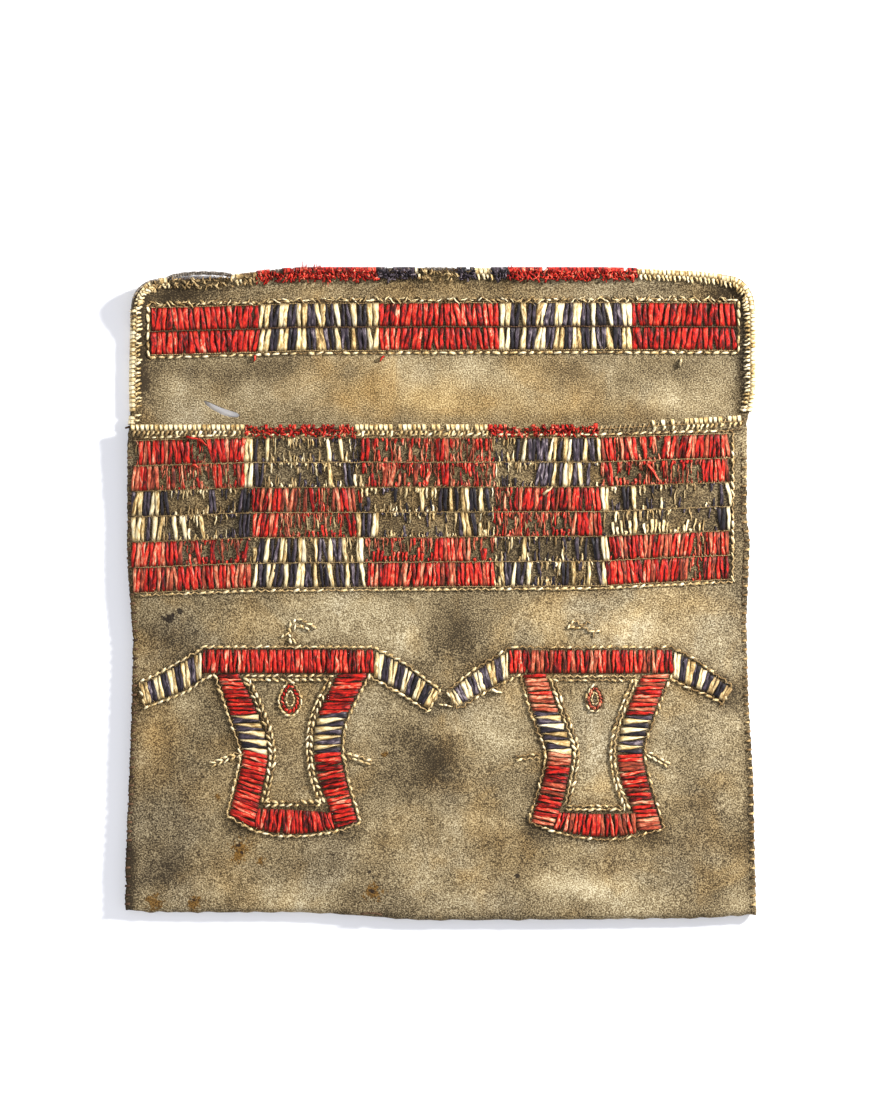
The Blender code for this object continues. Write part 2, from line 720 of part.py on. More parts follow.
def make_flap_edging(finishes, parent):
    """Stretches of wrapped quills round the flap, and the cord where its quills are gone."""
    rim = flap_rim()
    out_of = outward(rim)
    whole = reach_along(rim)[-1]
    start, joint = FLAP_EDGING_START, WRAP_JOINT / 2
    for name, slot, end in FLAP_EDGING + [(*FLAP_EDGING_LAST, None)]:
        end = whole - FLAP_EDGING_END if end is None else reach_at_x(rim, across(end))
        path = stretch(rim, start + joint, end - joint)
        start = end
        if slot == "cord":
            near = CLEARANCE + CORD_RADIUS
            stand_off = CORD_STAND_OFF if name == "rim_cord_loose" else near
            make_rim_cord(name, path, out_of, stand_off, finishes[slot], parent)
        else:
            wrap_run(name, path, out_of, WRAP_DEPTH, (WRAP_HIGH, WRAP_LOW), finishes[slot], parent)


def make_rim_cord(name, path, out_of, stand_off, material, parent):
    """The cord that the quills were wrapped round, bare here, bowed off the rim."""
    curve = bpy.data.curves.new(name, "CURVE")
    curve.dimensions = "3D"
    curve.bevel_depth = CORD_RADIUS
    curve.bevel_resolution = 1
    curve.use_fill_caps = True
    steps = 8
    spline = curve.splines.new("POLY")
    spline.points.add(steps)
    near = CLEARANCE + CORD_RADIUS
    for i in range(steps + 1):
        here = point_at(path, i / steps)
        bow = near + (stand_off - near) * math.sin(math.pi * i / steps)
        place = here.xy + out_of(here.xy) * bow
        height = (here.z + here.w) / 2
        spline.points[i].co = (*place, height, 1)
    curve.materials.append(material)
    cord = bpy.data.objects.new(name, curve)
    bpy.context.scene.collection.objects.link(cord)
    cord.parent = parent
    return cord


def make_mouth_edging(finishes, parent):
    """Stretches of wrapped quills along the front's upper rim, and one with only its thread left."""
    rim = edge_points(pocket_rows(front_low)[-1])
    reach, places = reach_along(rim), [p.x for p in rim]
    start, joint = MOUTH_EDGING_INSET, WRAP_JOINT / 2
    for name, slot, end in MOUTH_EDGING:
        end = float(np.interp(across(end), places, reach))
        path = stretch(rim, start + joint, end - joint)
        start = end
        rises = (SEAM_HIGH, SEAM_LOW) if slot == "thread" else (WRAP_HIGH, WRAP_LOW)
        wrap_run(name, path, lambda point: Vector((0, 1)), MOUTH_WRAP_DEPTH, rises, finishes[slot], parent)


def make_side_seams(finishes, parent):
    """Whip-stitching over the edges of front and back together."""
    half = HIDE_THICKNESS / 2
    for side, column, sign in (("left", 0, -1), ("right", -1, 1)):
        back = [row[column] for row in pocket_rows(back_low)]
        front = [row[column] for row in pocket_rows(front_low)]
        edge = [Vector((f[0], f[1], b[2] - half, f[2] + half)) for b, f in zip(back, front)]
        path = stretch(edge, SEAM_FROM_FOLD - FOLD_REACH, reach_along(edge)[-1] - SEAM_FROM_MOUTH)
        seam_run("side_seam_" + side, path, sign, finishes["thread"], parent)


def striped(start):
    """Blue strokes in a white ground, from a given place across the pouch."""
    return lambda at: int(((at.x - start) / STRIPE_PITCH) % 1 > 1 - BLUE_SHARE)


def shares(parts, start, end):
    """The ends of stretches that fill a length in given proportions."""
    ends = np.concatenate([[0.0], np.cumsum(parts)]) / sum(parts)
    return [start + (end - start) * e for e in ends]


def flap_line(x, lane):
    return Y_TOP - FLAP_BAND_DROP + wander_across(FLAP_BAND_WANDER, x) - lane * FLAP_LANE


def chequer_line(x, lane):
    first = Y_MOUTH - CHEQUER_DROP + wander_across(CHEQUER_WANDER, x)
    return first - lane * (CHEQUER_LANE + wander_across(LANE_WANDER, x))


def make_flap_band(finishes, parent):
    """Five blocks across the flap, red and striped by turns, in two lanes, and their outline."""
    left, right = left_edge(Y_TOP) + FLAP_BAND_LEFT, right_edge(Y_TOP) - FLAP_BAND_RIGHT
    ends = shares(FLAP_BLOCKS, left, right)
    thread = finishes["thread"]
    for i, (a, b) in enumerate(zip(ends, ends[1:])):
        a, b = a + CLEARANCE / 2, b - CLEARANCE / 2
        lines = [[Vector((x, flap_line(x, lane))) for x in (a, b)] for lane in (0, 2)]
        red = i % 2 == 0
        quills = [finishes["red_quill"]] if red else [finishes["white_quill"], finishes["blue_quill"]]
        paint = (lambda at: 0) if red else striped(a)
        quill_block(
            f"flap_band_{i + 1}", *lines, 2, lambda lane, x: True, paint, quills + [thread], flap_face, parent
        )
    off = BEAD_OFFSET
    corners = [(left - off, 0, off), (right + off, 0, off), (right + off, 2, -off), (left - off, 2, -off)]
    path = []
    for (x0, lane, shift), (x1, other, _) in zip(corners, corners[1:] + corners[:1]):
        along = np.linspace(x0, x1, 6 if lane == other else 2)
        path += [Vector((x, flap_line(x, lane) + shift)) for x in along[:-1]]
        if lane != other:
            path.pop()
            path.append(Vector((x0, flap_line(x0, lane) + shift)))
    bead_line("flap_band_outline", path, True, 1, finishes["white_quill"], flap_face, parent)


def make_chequer(finishes, parent):
    """Three rows of five blocks below the mouth, worn where the real ones are, and their outline."""
    middle = Y_MOUTH - CHEQUER_LANES / 2 * CHEQUER_LANE
    left, right = left_edge(middle) + CHEQUER_LEFT, right_edge(middle) - CHEQUER_RIGHT
    ends = shares(CHEQUER_BLOCKS, left, right)
    thread = finishes["thread"]
    for row in range(CHEQUER_LANES // 2):
        heights = [chequer_line(left, 2 * row), chequer_line(left, 2 * row + 2)]
        row_ends = [max(left_edge(y) for y in heights) + CHEQUER_LEFT] + ends[1:]
        for column, (a, b) in enumerate(zip(row_ends, row_ends[1:])):
            a, b = a + CLEARANCE / 2, b - CLEARANCE / 2
            lines = [[Vector((x, chequer_line(x, lane))) for x in (a, b)] for lane in (2 * row, 2 * row + 2)]
            red = (row + column) % 2 == 0
            quills = [finishes["red_quill"]] if red else [finishes["white_quill"], finishes["blue_quill"]]

            def survives(lane, x, row=row):
                return any(across(s) < x < across(e) for s, e in SURVIVING[2 * row + lane])

            paint = (lambda at: 0) if red else striped(a)
            quill_block(
                f"chequer_row{row + 1}_block{column + 1}",
                *lines,
                2,
                survives,
                paint,
                quills + [thread],
                front_face,
                parent,
            )
    off = BEAD_OFFSET
    path = [Vector((x, chequer_line(x, CHEQUER_LANES) - off)) for x in np.linspace(left + off, right + off, 20)]
    path += [Vector((right + off, chequer_line(right, lane) + (off if lane == 0 else 0))) for lane in (4, 2, 0.25)]
    bead_line("chequer_outline", path, False, 1, finishes["white_quill"], front_face, parent)


def figure_curves(figure, centre):
    """A figure's hand-drawn curves at their place on the pouch."""
    scale = FIGURE_SIZE * across(1)
    placed = {}
    for part, drawn in figure.items():
        if isinstance(drawn, tuple) and isinstance(drawn[0], list):
            placed[part] = [curve_through([centre + Vector(p) * scale for p in side]) for side in drawn]
        elif isinstance(drawn, list):
            placed[part] = [centre + Vector(p) * scale for p in drawn]
        else:
            placed[part] = centre + Vector(drawn) * scale
    return placed


def doubled(stem, spacing):
    """A line out along one side of a stem and back along its other side."""
    half = spacing / 2
    out = moved_out(stem, half)
    back = moved_out(stem, -half)
    tip = stem[-1] + (stem[-1] - stem[-2]).normalized() * half
    return out + [tip] + back[::-1]


def make_figure(side, figure, centre, finishes, parent):
    """One thunderbird: seven lanes of quills, the beaded lines round them and the pendant mark."""
    curves = figure_curves(figure, centre)
    red, white, blue = finishes["red_quill"], finishes["white_quill"], finishes["blue_quill"]

    def by_height(at):
        drawn = (at.y - centre.y) / (FIGURE_SIZE * across(1))
        if WAIST_BOTTOM < drawn < WAIST_TOP:
            return 1 + int(((WAIST_TOP - drawn) / WAIST_STRIPE_PITCH) % 1 > 0.5)
        return 0

    def everywhere(lane, x):
        return True

    for part in ("bar", "tail"):
        quill_block(
            f"{side}_figure_{part}",
            *curves[part],
            1,
            everywhere,
            lambda at: 0,
            [red],
            front_face,
            parent,
            pieces=3,
            threads=False,
        )
    for part in ("wing_left", "wing_right"):
        quill_block(
            f"{side}_figure_{part}",
            *curves[part],
            1,
            everywhere,
            striped(centre.x),
            [white, blue],
            front_face,
            parent,
            threads=False,
        )
    for part in ("side_left", "side_right"):
        quill_block(
            f"{side}_figure_{part}",
            *curves[part],
            1,
            everywhere,
            by_height,
            [red, white, blue],
            front_face,
            parent,
            pieces=3,
            threads=False,
        )
    outline = outer_outline(curves)
    bead_line(f"{side}_figure_outline", outline, True, 1, white, front_face, parent)
    inner = inner_outline(curves)
    bead_line(f"{side}_figure_inner_line", inner, True, 2, white, front_face, parent)
    ring = []
    for i in range(PENDANT_SIDES):
        angle = 2 * math.pi * i / PENDANT_SIDES
        ring.append(
            curves["pendant"]
            + PENDANT_RADIUS * Vector((math.sin(angle), PENDANT_STRETCH * math.cos(angle)))
        )
    bead_line(f"{side}_figure_pendant", ring, True, 1, red, front_face, parent)


def thinned(line, step):
    count = max(1, round(reach_along(line)[-1] / step))
    return [point_at(line, i / count) for i in range(count + 1)]


def outer_outline(curves):
    """Clockwise round a figure, with the head above the bar and a feather on each side."""
    step, off = BEAD_STEP, BEAD_OFFSET
    bar_top = moved_out(thinned(curves["bar"][0], step), off)
    neck = curves["head"][0]

    def past_tip(line):
        """An offset line with its last point carried on past the tip of a wing."""
        out = moved_out(thinned(line, step), off)
        return out + [out[-1] + (out[-1] - out[-2]).normalized() * WING_TIP_ROOM]

    def before_tip(line):
        """The same for a line that starts at the tip."""
        out = moved_out(thinned(line, step), off)
        return [out[0] + (out[0] - out[1]).normalized() * WING_TIP_ROOM] + out

    def with_feather(line, stem):
        """A side's outline that runs out along one edge of a feather and back along the other."""
        edge = moved_out(thinned(line, step), off)
        root = min(edge, key=lambda p: abs(p.y - stem[0].y))
        place = edge.index(root)
        pair = doubled([root, stem[1]], FEATHER_SPACING)
        return edge[:place] + pair + edge[place + 1 :]

    path = before_tip(curves["wing_left"][0][::-1])
    path += [p for p in bar_top if p.x < neck.x - FEATHER_SPACING]
    path += doubled(curves["head"], FEATHER_SPACING)
    path += [p for p in bar_top if p.x > neck.x + FEATHER_SPACING]
    path += past_tip(curves["wing_right"][0])
    path += before_tip(curves["wing_right"][1][::-1])
    path += with_feather(curves["side_right"][1], curves["feather_right"])
    path += moved_out(thinned(curves["tail"][1][::-1], step), off)
    path += with_feather(curves["side_left"][0][::-1], curves["feather_left"])
    path += past_tip(curves["wing_left"][1])
    return spaced(tidy(path), BEAD_REACH, closed=True)


def inner_outline(curves):
    """Round the open field inside a figure, between its bar, its sides and its tail."""
    step = BEAD_STEP
    off = BEAD_OFFSET + DOUBLE_SPACING / 2
    top = curves["bar"][1][0].y - off
    bottom = max(p.y for p in curves["tail"][0]) + off
    left = moved_out(thinned(curves["side_left"][1], step), off)
    right = moved_out(thinned(curves["side_right"][0], step), -off)
    path = []
    for edge in (left, right[::-1]):
        falling = sorted(edge, key=lambda p: p.y)
        ends = [
            Vector((float(np.interp(y, [p.y for p in falling], [p.x for p in falling])), y)) for y in (top, bottom)
        ]
        within = [p for p in edge if bottom + step / 3 < p.y < top - step / 3]
        path += [ends[0], *within, ends[1]] if edge is left else [ends[1], *within, ends[0]]
    return spaced(path, BEAD_REACH, closed=True)


def tidy(path):
    """Drops points that lie too close to the one before."""
    kept = [path[0]]
    for point in path[1:]:
        if (point - kept[-1]).length > BEAD_WIDTH:
            kept.append(point)
    return kept


def main():
    clear_scene()
    finishes = {
        "hide": finish("hide", (0.27, 0.22, 0.12), 0.9),
        "red_quill": finish("red_quill", (0.55, 0.02, 0.015), 0.45),
        "white_quill": finish("white_quill", (0.85, 0.76, 0.55), 0.45),
        "cream_quill": finish("cream_quill", (0.62, 0.49, 0.27), 0.5),
        "blue_quill": finish("blue_quill", (0.045, 0.045, 0.09), 0.5),
        "cord": finish("cord", (0.16, 0.13, 0.1), 0.85),
        "thread": finish("thread", (0.3, 0.2, 0.09), 0.85),
    }
    pouch = bpy.data.objects.new("pouch", None)
    bpy.context.scene.collection.objects.link(pouch)
    make_hide(finishes["hide"], pouch)
    make_flap_edging(finishes, pouch)
    make_mouth_edging(finishes, pouch)
    make_side_seams(finishes, pouch)
    make_flap_band(finishes, pouch)
    make_chequer(finishes, pouch)
    bar_top = Y_MOUTH - CHEQUER_DROP - CHEQUER_LANES * CHEQUER_LANE - FIGURE_DROP
    for side, figure, sign in (("left", LEFT_FIGURE, -1), ("right", RIGHT_FIGURE, 1)):
        centre = Vector((across(FIGURE_SHIFT + sign * FIGURE_SPACING / 2), bar_top))
        make_figure(side, figure, centre, finishes, pouch)


main()
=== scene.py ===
# %% [markdown]
# # A quilled hide pouch
# A flat pouch of tanned hide lies on its back with its flap open. Bands and figures of folded,
# dyed porcupine quills cover it, and every rim is wrapped with quills. The frame is the plain
# model of it. This lesson dresses that model: it lays a soft sheet of hide over the plain one,
# and then puts back every quill, thread and fibre.

# %% Load the frame
import math
import random
from collections import defaultdict, namedtuple

import bmesh
import bpy
import numpy as np
from mathutils import Matrix, Vector


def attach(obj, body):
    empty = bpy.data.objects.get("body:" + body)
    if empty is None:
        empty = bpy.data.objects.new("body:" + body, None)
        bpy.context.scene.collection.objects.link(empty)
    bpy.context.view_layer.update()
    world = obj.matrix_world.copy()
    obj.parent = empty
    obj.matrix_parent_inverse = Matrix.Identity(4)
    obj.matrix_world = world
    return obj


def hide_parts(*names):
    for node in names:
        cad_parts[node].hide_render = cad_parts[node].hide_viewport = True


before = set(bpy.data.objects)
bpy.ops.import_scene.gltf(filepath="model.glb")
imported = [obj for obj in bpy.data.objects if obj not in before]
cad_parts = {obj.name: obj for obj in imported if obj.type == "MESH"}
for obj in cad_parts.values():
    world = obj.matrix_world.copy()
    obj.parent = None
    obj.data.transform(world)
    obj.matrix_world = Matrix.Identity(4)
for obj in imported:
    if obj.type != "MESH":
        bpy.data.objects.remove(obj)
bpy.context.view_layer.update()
MM = 0.001


# %% [markdown]
# ## Where the hide lies
# The hide is one sheet, folded at the bottom. Each edge wanders a little, as a hand-cut edge
# does, so it is a straight line plus a short list of shifts. The two faces are height functions:
# the flap lies flat, and the front bellies out between the seams. Everything that is sewn on
# later asks these functions for its ground, so it can't float or sink.

# %% Sizes of the hide
HIDE_WIDTH = 196.0 * MM
POCKET_HEIGHT = 156.9 * MM
FLAP_HEIGHT = 50.0 * MM
HIDE_THICKNESS = 1.3 * MM
FLAP_CORNER = 8.0 * MM
BELLY = 5.2 * MM
RIM_LIFT = 0.9 * MM
RIM_LEVEL = 2.4 * MM
RIM_SLOPE = 4.8 * MM
SEAM_GROUND = 2.5 * MM
MOUTH_GAPE = 0.9 * MM
GAPE_FROM = 0.82
Y_FOLD = -103.9 * MM
Y_MOUTH = Y_FOLD + POCKET_HEIGHT
Y_TOP = Y_MOUTH + FLAP_HEIGHT
FOLD_REACH = (SEAM_GROUND + HIDE_THICKNESS) / 2
CURL_LIFT = 4.6 * MM
CURL_REACH = 12.5 * MM
CURL_SLANT = 0.6

# How far each edge leaves its line, as (place along it, shift outwards) in mm
LEFT_WANDER = [(-155, 2.2), (-138, 2.0), (-119, 1.2), (-94, 0.2), (-68, -0.4), (-42, 1.5), (-4, 1.4)]
LEFT_WANDER += [(5, 0.3), (14, 0.5), (35, 0)]
RIGHT_WANDER = [(-155, 2.2), (-112, 1.2), (-87, -0.3), (-61, -1.0), (-36, 0.2), (-29, -0.8), (2, -0.8)]
RIGHT_WANDER += [(6, 0.6), (12, 1.6)]
TOP_WANDER = [(-98, -4.0), (-85, -2.8), (-69, -2.4), (-53, -0.5), (-45, 0), (51, 0), (67, -0.3)]
TOP_WANDER += [(83, -1.1), (98, -2.9)]
FOLD_WANDER = [(-98, -2.9), (-92, -2.4), (-45, -2.4), (-29, -1.6), (-8, 0), (51, 0), (83, -0.5), (98, -1.6)]
MOUTH_WANDER = [(-98, 0), (43, 0), (64, 1.2), (83, 2.2), (98, 3.1)]


class Chance(random.Random):
    """Repeatable random numbers."""

    def about(self, reach):
        return self.uniform(-reach, reach)


# %% Its edges and faces
def wander(points, place):
    return np.interp(np.asarray(place) / MM, *zip(*points)) * MM


def left_edge(y):
    return -HIDE_WIDTH / 2 - wander(LEFT_WANDER, y - Y_MOUTH)


def right_edge(y):
    return HIDE_WIDTH / 2 + wander(RIGHT_WANDER, y - Y_MOUTH)


def top_edge(x):
    return Y_TOP + wander(TOP_WANDER, x)


def fold_edge(x):
    return Y_FOLD - wander(FOLD_WANDER, x)


def mouth_edge(x):
    return Y_MOUTH + wander(MOUTH_WANDER, x)


def ease(t):
    t = np.clip(t, 0.0, 1.0)
    return t * t * (3 - 2 * t)


def ripple(x, y, wavelength, seed):
    """A smooth, endless unevenness between about -1 and 1."""
    chance = Chance(seed)
    total = np.zeros(np.broadcast(x, y).shape)
    for _ in range(7):
        turn = chance.uniform(0, 2 * math.pi)
        wave = 2 * math.pi / (wavelength * chance.uniform(0.6, 1.7))
        start = chance.uniform(0, 2 * math.pi)
        total = total + np.sin(wave * (x * math.cos(turn) + y * math.sin(turn)) + start)
    return total / 3.5


def relief(x, y):
    """The small rise and fall of a hide that isn't quite flat."""
    return 0.16 * MM * ripple(x, y, 26 * MM, 3) + 0.07 * MM * ripple(x, y, 9 * MM, 4)


def back_low(x, y):
    """The underside of the back and the flap, with raised rims and one curled corner."""
    to_side = np.minimum(x - left_edge(y), right_edge(y) - x)
    to_top = top_edge(x) - y
    in_corner = (to_side < FLAP_CORNER) & (to_top < FLAP_CORNER)
    from_corner = FLAP_CORNER - np.hypot(FLAP_CORNER - to_side, FLAP_CORNER - to_top)
    inset = np.where(in_corner, from_corner, np.minimum(to_side, to_top))
    from_curl = x - left_edge(y) + CURL_SLANT * to_top
    curl = CURL_LIFT * ease(1 - from_curl / CURL_REACH)
    return RIM_LIFT * ease(1 - (inset - RIM_LEVEL) / RIM_SLOPE) + curl


def front_low(x, y):
    """The underside of the front, which bulges between its seams and gapes at the mouth."""
    left, right = left_edge(y), right_edge(y)
    across = np.minimum(np.abs((2 * x - left - right) / (right - left)), 1.0)
    up = np.clip((y - fold_edge(x)) / (mouth_edge(x) - fold_edge(x)), 0.0, 1.0)
    bulge = (1 - across**2.5) * (1 - (1 - up) ** 3) * (1 - 0.1 * up**4)
    return SEAM_GROUND + MOUTH_GAPE * ease((up - GAPE_FROM) / (1 - GAPE_FROM)) + BELLY * bulge


def flap_face(x, y):
    return back_low(x, y) + HIDE_THICKNESS


def front_face(x, y):
    return front_low(x, y) + HIDE_THICKNESS + relief(x, y)


print("front at its middle, mm:", round(float(front_face(0.0, 0.0)) / MM, 2))

# %% [markdown]
# ## Shared shader groups
# The same effects come back in most of the finishes: a grain too fine to model, and streaks that
# run along a quill. Each is a node group, made once, with its scale as an input. A group gives
# only a mask or a height, and each material decides what to do with it.


# %% Node helpers
class Nodes:
    """A node tree, with a short way to add each kind of node that the finishes use."""

    def __init__(self, tree):
        self.tree = tree

    def feed(self, source, target):
        """Links one socket to another, or sets the target if the source is a plain value."""
        if isinstance(source, bpy.types.NodeSocket):
            self.tree.links.new(source, target)
        else:
            target.default_value = source

    def add(self, kind, inputs, output=0, **settings):
        node = self.tree.nodes.new("ShaderNode" + kind)
        for name, value in settings.items():
            setattr(node, name, value)
        for name, source in inputs.items():
            self.feed(source, node.inputs[name])
        return node.outputs[output]

    def maths(self, operation, first, second=0.0, clamp=False):
        return self.add("Math", {0: first, 1: second}, operation=operation, use_clamp=clamp)

    def scale(self, value, amount):
        return self.maths("MULTIPLY", value, amount)

    def total(self, *parts):
        """The sum of values, each times its weight."""
        whole = 0.0
        for value, weight in parts:
            whole = self.maths("ADD", whole, self.scale(value, weight))
        return whole

    def from_middle(self, value):
        return self.maths("ABSOLUTE", self.maths("SUBTRACT", value, 0.5))

    def blend(self, amount, first, second, how="MIX"):
        inputs = {"Factor": amount, "A": first, "B": second}
        return self.add("Mix", inputs, "Result", data_type="RGBA", blend_type=how)

    def ramp(self, amount, stops):
        """Colours along a scale of 0 to 1. Each stop is its place, red, green and blue."""
        node = self.tree.nodes.new("ShaderNodeValToRGB")
        marks = node.color_ramp.elements
        while len(marks) < len(stops):
            marks.new(0.5)
        for mark, (place, *colour) in zip(marks, stops):
            mark.position = place
            mark.color = (*colour, 1)
        self.feed(amount, node.inputs["Fac"])
        return node.outputs["Color"]

    def noise(self, where, scale, detail=4.0, rough=0.55, warp=0.0):
        inputs = {"Vector": where, "Scale": scale, "Detail": detail, "Roughness": rough, "Distortion": warp}
        return self.add("TexNoise", inputs, "Fac")

    def spread(self, value, low, high):
        """Stretches the part of a value between low and high to 0 to 1."""
        return self.add("MapRange", {"Value": value, "From Min": low, "From Max": high}, "Result", clamp=True)

    def attribute(self, name):
        return self.add("Attribute", {}, "Fac", attribute_name=name)

    def place(self):
        return self.add("TexCoord", {}, "Object")

    def bump(self, height, strength, depth):
        return self.add("Bump", {"Strength": strength, "Distance": depth, "Height": height}, "Normal")

    def use(self, group, **inputs):
        """Adds a node group and gives all its outputs."""
        node = self.tree.nodes.new("ShaderNodeGroup")
        node.node_tree = group
        for name, source in inputs.items():
            self.feed(source, node.inputs[name])
        return node.outputs


def new_group(name, inputs, outputs):
    """An empty node group: its nodes, what it is given, and where its results go."""
    tree = bpy.data.node_groups.new(name, "ShaderNodeTree")
    for label, kind in inputs.items():
        tree.interface.new_socket(label, in_out="INPUT", socket_type="NodeSocket" + kind)
    for label in outputs:
        tree.interface.new_socket(label, in_out="OUTPUT", socket_type="NodeSocketFloat")
    given, results = (tree.nodes.new("NodeGroup" + way) for way in ("Input", "Output"))
    return Nodes(tree), given.outputs, results.inputs


# %% The nap group
def make_nap_group():
    """The short raised fibres of suede: a speckle of light tips over dark roots."""
    nodes, given, results = new_group("nap", {"Where": "Vector", "Scale": "Float"}, ["Speckle", "Height"])
    fine = nodes.noise(given["Where"], given["Scale"], 2.0, 0.6)
    coarse = nodes.noise(given["Where"], nodes.scale(given["Scale"], 0.31), 3.0, 0.6, 0.6)
    both = nodes.total((fine, 0.85), (coarse, 0.15))
    nodes.feed(nodes.spread(both, 0.37, 0.63), results["Speckle"])
    nodes.feed(both, results["Height"])
    return nodes.tree


# %% The streaks group
def make_streaks_group():
    """Lines along a flattened quill: it creases lengthwise where its pith has gone."""
    labels = ["Streak", "Height", "Shade", "Ends", "Flanks"]
    nodes, given, results = new_group("streaks", {"Fineness": "Float"}, labels)
    split = nodes.tree.nodes.new("ShaderNodeSeparateXYZ")
    nodes.feed(nodes.add("UVMap", {}, "UV", uv_map="quill"), split.inputs[0])
    across, along = split.outputs["X"], split.outputs["Y"]
    shade = nodes.attribute("shade")
    x, y, z = nodes.scale(across, given["Fineness"]), nodes.scale(along, 1.1), nodes.scale(shade, 371.0)
    where = nodes.add("CombineXYZ", {"X": x, "Y": y, "Z": z})
    lines = nodes.noise(where, 2.4, 3.0, 0.6, 0.4)
    flecks = nodes.noise(where, 9.0, 2.0, 0.5)
    nodes.feed(nodes.spread(nodes.total((lines, 0.75), (flecks, 0.25)), 0.40, 0.60), results["Streak"])
    nodes.feed(lines, results["Height"])
    nodes.feed(shade, results["Shade"])
    # Ends and Flanks are the masks for the painted shade at a stroke's tucked ends and beside it
    nodes.feed(nodes.spread(nodes.from_middle(along), 0.34, 0.5), results["Ends"])
    nodes.feed(nodes.spread(nodes.from_middle(across), 0.22, 0.45), results["Flanks"])
    return nodes.tree


NAP = make_nap_group()
STREAKS = make_streaks_group()
print("node groups:", [g.name for g in bpy.data.node_groups])

# %% [markdown]
# ## The finishes
# Quills take dye unevenly, so each colour is a ramp and not one colour: the shade that a stroke
# was given picks its place on the ramp, and the streaks move it up and down along the stroke.
# The ends of a stroke are darker where they tuck under the stitches, partly dirt and partly painted
# shade, and its flanks carry painted shade for the dark gaps between strokes.

# %% Quills and thread
LOW_SHINE = 0.17
QUILL_ROUGH = 0.42
# Each dye is its stops, as (place, red, green, blue), and the colour of the painted shade on its flanks and
# ends, with dirt at the ends
QUILL_DYES = {
    "red": (
        [(0.10, 0.030, 0.003, 0.002), (0.30, 0.15, 0.006, 0.004), (0.46, 0.44, 0.008, 0.005)]
        + [(0.67, 0.60, 0.024, 0.011), (0.84, 0.71, 0.11, 0.052), (0.95, 0.83, 0.39, 0.24)],
        (0.035, 0.010, 0.006, 1),
    ),
    "worn_red": (
        [(0.1, 0.04, 0.008, 0.005), (0.4, 0.26, 0.038, 0.018)]
        + [(0.65, 0.50, 0.095, 0.042), (0.92, 0.74, 0.37, 0.21)],
        (0.05, 0.022, 0.010, 1),
    ),
    "white": (
        [(0.08, 0.17, 0.095, 0.032), (0.30, 0.50, 0.33, 0.12)]
        + [(0.55, 0.80, 0.64, 0.34), (0.9, 0.95, 0.85, 0.60)],
        (0.13, 0.08, 0.03, 1),
    ),
    "cream": (
        [(0.1, 0.14, 0.08, 0.03), (0.5, 0.38, 0.25, 0.10), (0.95, 0.68, 0.52, 0.27)],
        (0.10, 0.06, 0.03, 1),
    ),
    "blue": (
        [(0.1, 0.006, 0.006, 0.008), (0.5, 0.024, 0.018, 0.024)]
        + [(0.75, 0.07, 0.05, 0.069), (0.95, 0.27, 0.22, 0.23)],
        (0.022, 0.016, 0.012, 1),
    ),
}
STRAND_DYES = {
    "thread": [(0.15, 0.07, 0.04, 0.018), (0.5, 0.23, 0.14, 0.055), (0.9, 0.56, 0.40, 0.19)],
    "dark_thread": [(0.2, 0.03, 0.016, 0.01), (0.9, 0.15, 0.08, 0.04)],
    "cord": [(0.2, 0.06, 0.048, 0.036), (0.6, 0.16, 0.135, 0.11), (0.95, 0.33, 0.29, 0.24)],
    "fibre": [(0.1, 0.14, 0.08, 0.03), (0.5, 0.40, 0.26, 0.11), (0.9, 0.74, 0.59, 0.34)],
}


def new_material(name, roughness):
    made = bpy.data.materials.new(name)
    made.use_nodes = True
    paint = made.node_tree.nodes["Principled BSDF"].inputs
    paint["Roughness"].default_value = roughness
    paint["Specular IOR Level"].default_value = LOW_SHINE
    return made, Nodes(made.node_tree), paint


def quill_material(name, stops, shade_and_dirt):
    made, nodes, paint = new_material(name, QUILL_ROUGH)
    marks = nodes.use(STREAKS, Fineness=1.0)
    dyed = nodes.ramp(nodes.total((marks["Shade"], 0.52), (marks["Streak"], 0.5)), stops)
    # Painted shade: the flanks are darkened for the gaps between strokes, and the tucked ends for shade as
    # well as dirt
    shade_and_dirt_mask = nodes.maths("MAXIMUM", nodes.scale(marks["Flanks"], 0.88), nodes.scale(marks["Ends"], 0.7))
    nodes.feed(nodes.blend(shade_and_dirt_mask, dyed, shade_and_dirt), paint["Base Color"])
    gloss = nodes.scale(marks["Streak"], 0.25)
    nodes.feed(nodes.maths("SUBTRACT", QUILL_ROUGH + 0.2, gloss), paint["Roughness"])
    nodes.feed(nodes.bump(marks["Height"], 1.0, 0.45 * MM), paint["Normal"])
    return made


def strand_material(name, stops):
    """Sinew thread, cord and loose fibres, each strand with a shade of its own."""
    made, nodes, paint = new_material(name, 0.75)
    place = nodes.place()
    level = nodes.total((nodes.attribute("shade"), 0.6), (nodes.noise(place, 900.0, 3.0), 0.4))
    nodes.feed(nodes.ramp(level, stops), paint["Base Color"])
    nodes.feed(nodes.bump(nodes.noise(place, 5200.0, 2.0), 0.6, 0.15 * MM), paint["Normal"])
    return made


# A finish is a material and the name of a slot
FINISHES = {}
for colour, (stops, shade_and_dirt) in QUILL_DYES.items():
    slot = colour.removeprefix("worn_") + "_quill"
    FINISHES[colour] = quill_material(colour + "_quill", stops, shade_and_dirt), slot
for name, stops in STRAND_DYES.items():
    FINISHES[name] = strand_material(name, stops), "cord" if name == "cord" else "thread"

# %% The hide's finish
HIDE_STOPS = [(0.10, 0.030, 0.021, 0.011), (0.30, 0.095, 0.068, 0.034), (0.50, 0.225, 0.168, 0.088)]
HIDE_STOPS += [(0.70, 0.39, 0.315, 0.185), (0.92, 0.60, 0.52, 0.345)]
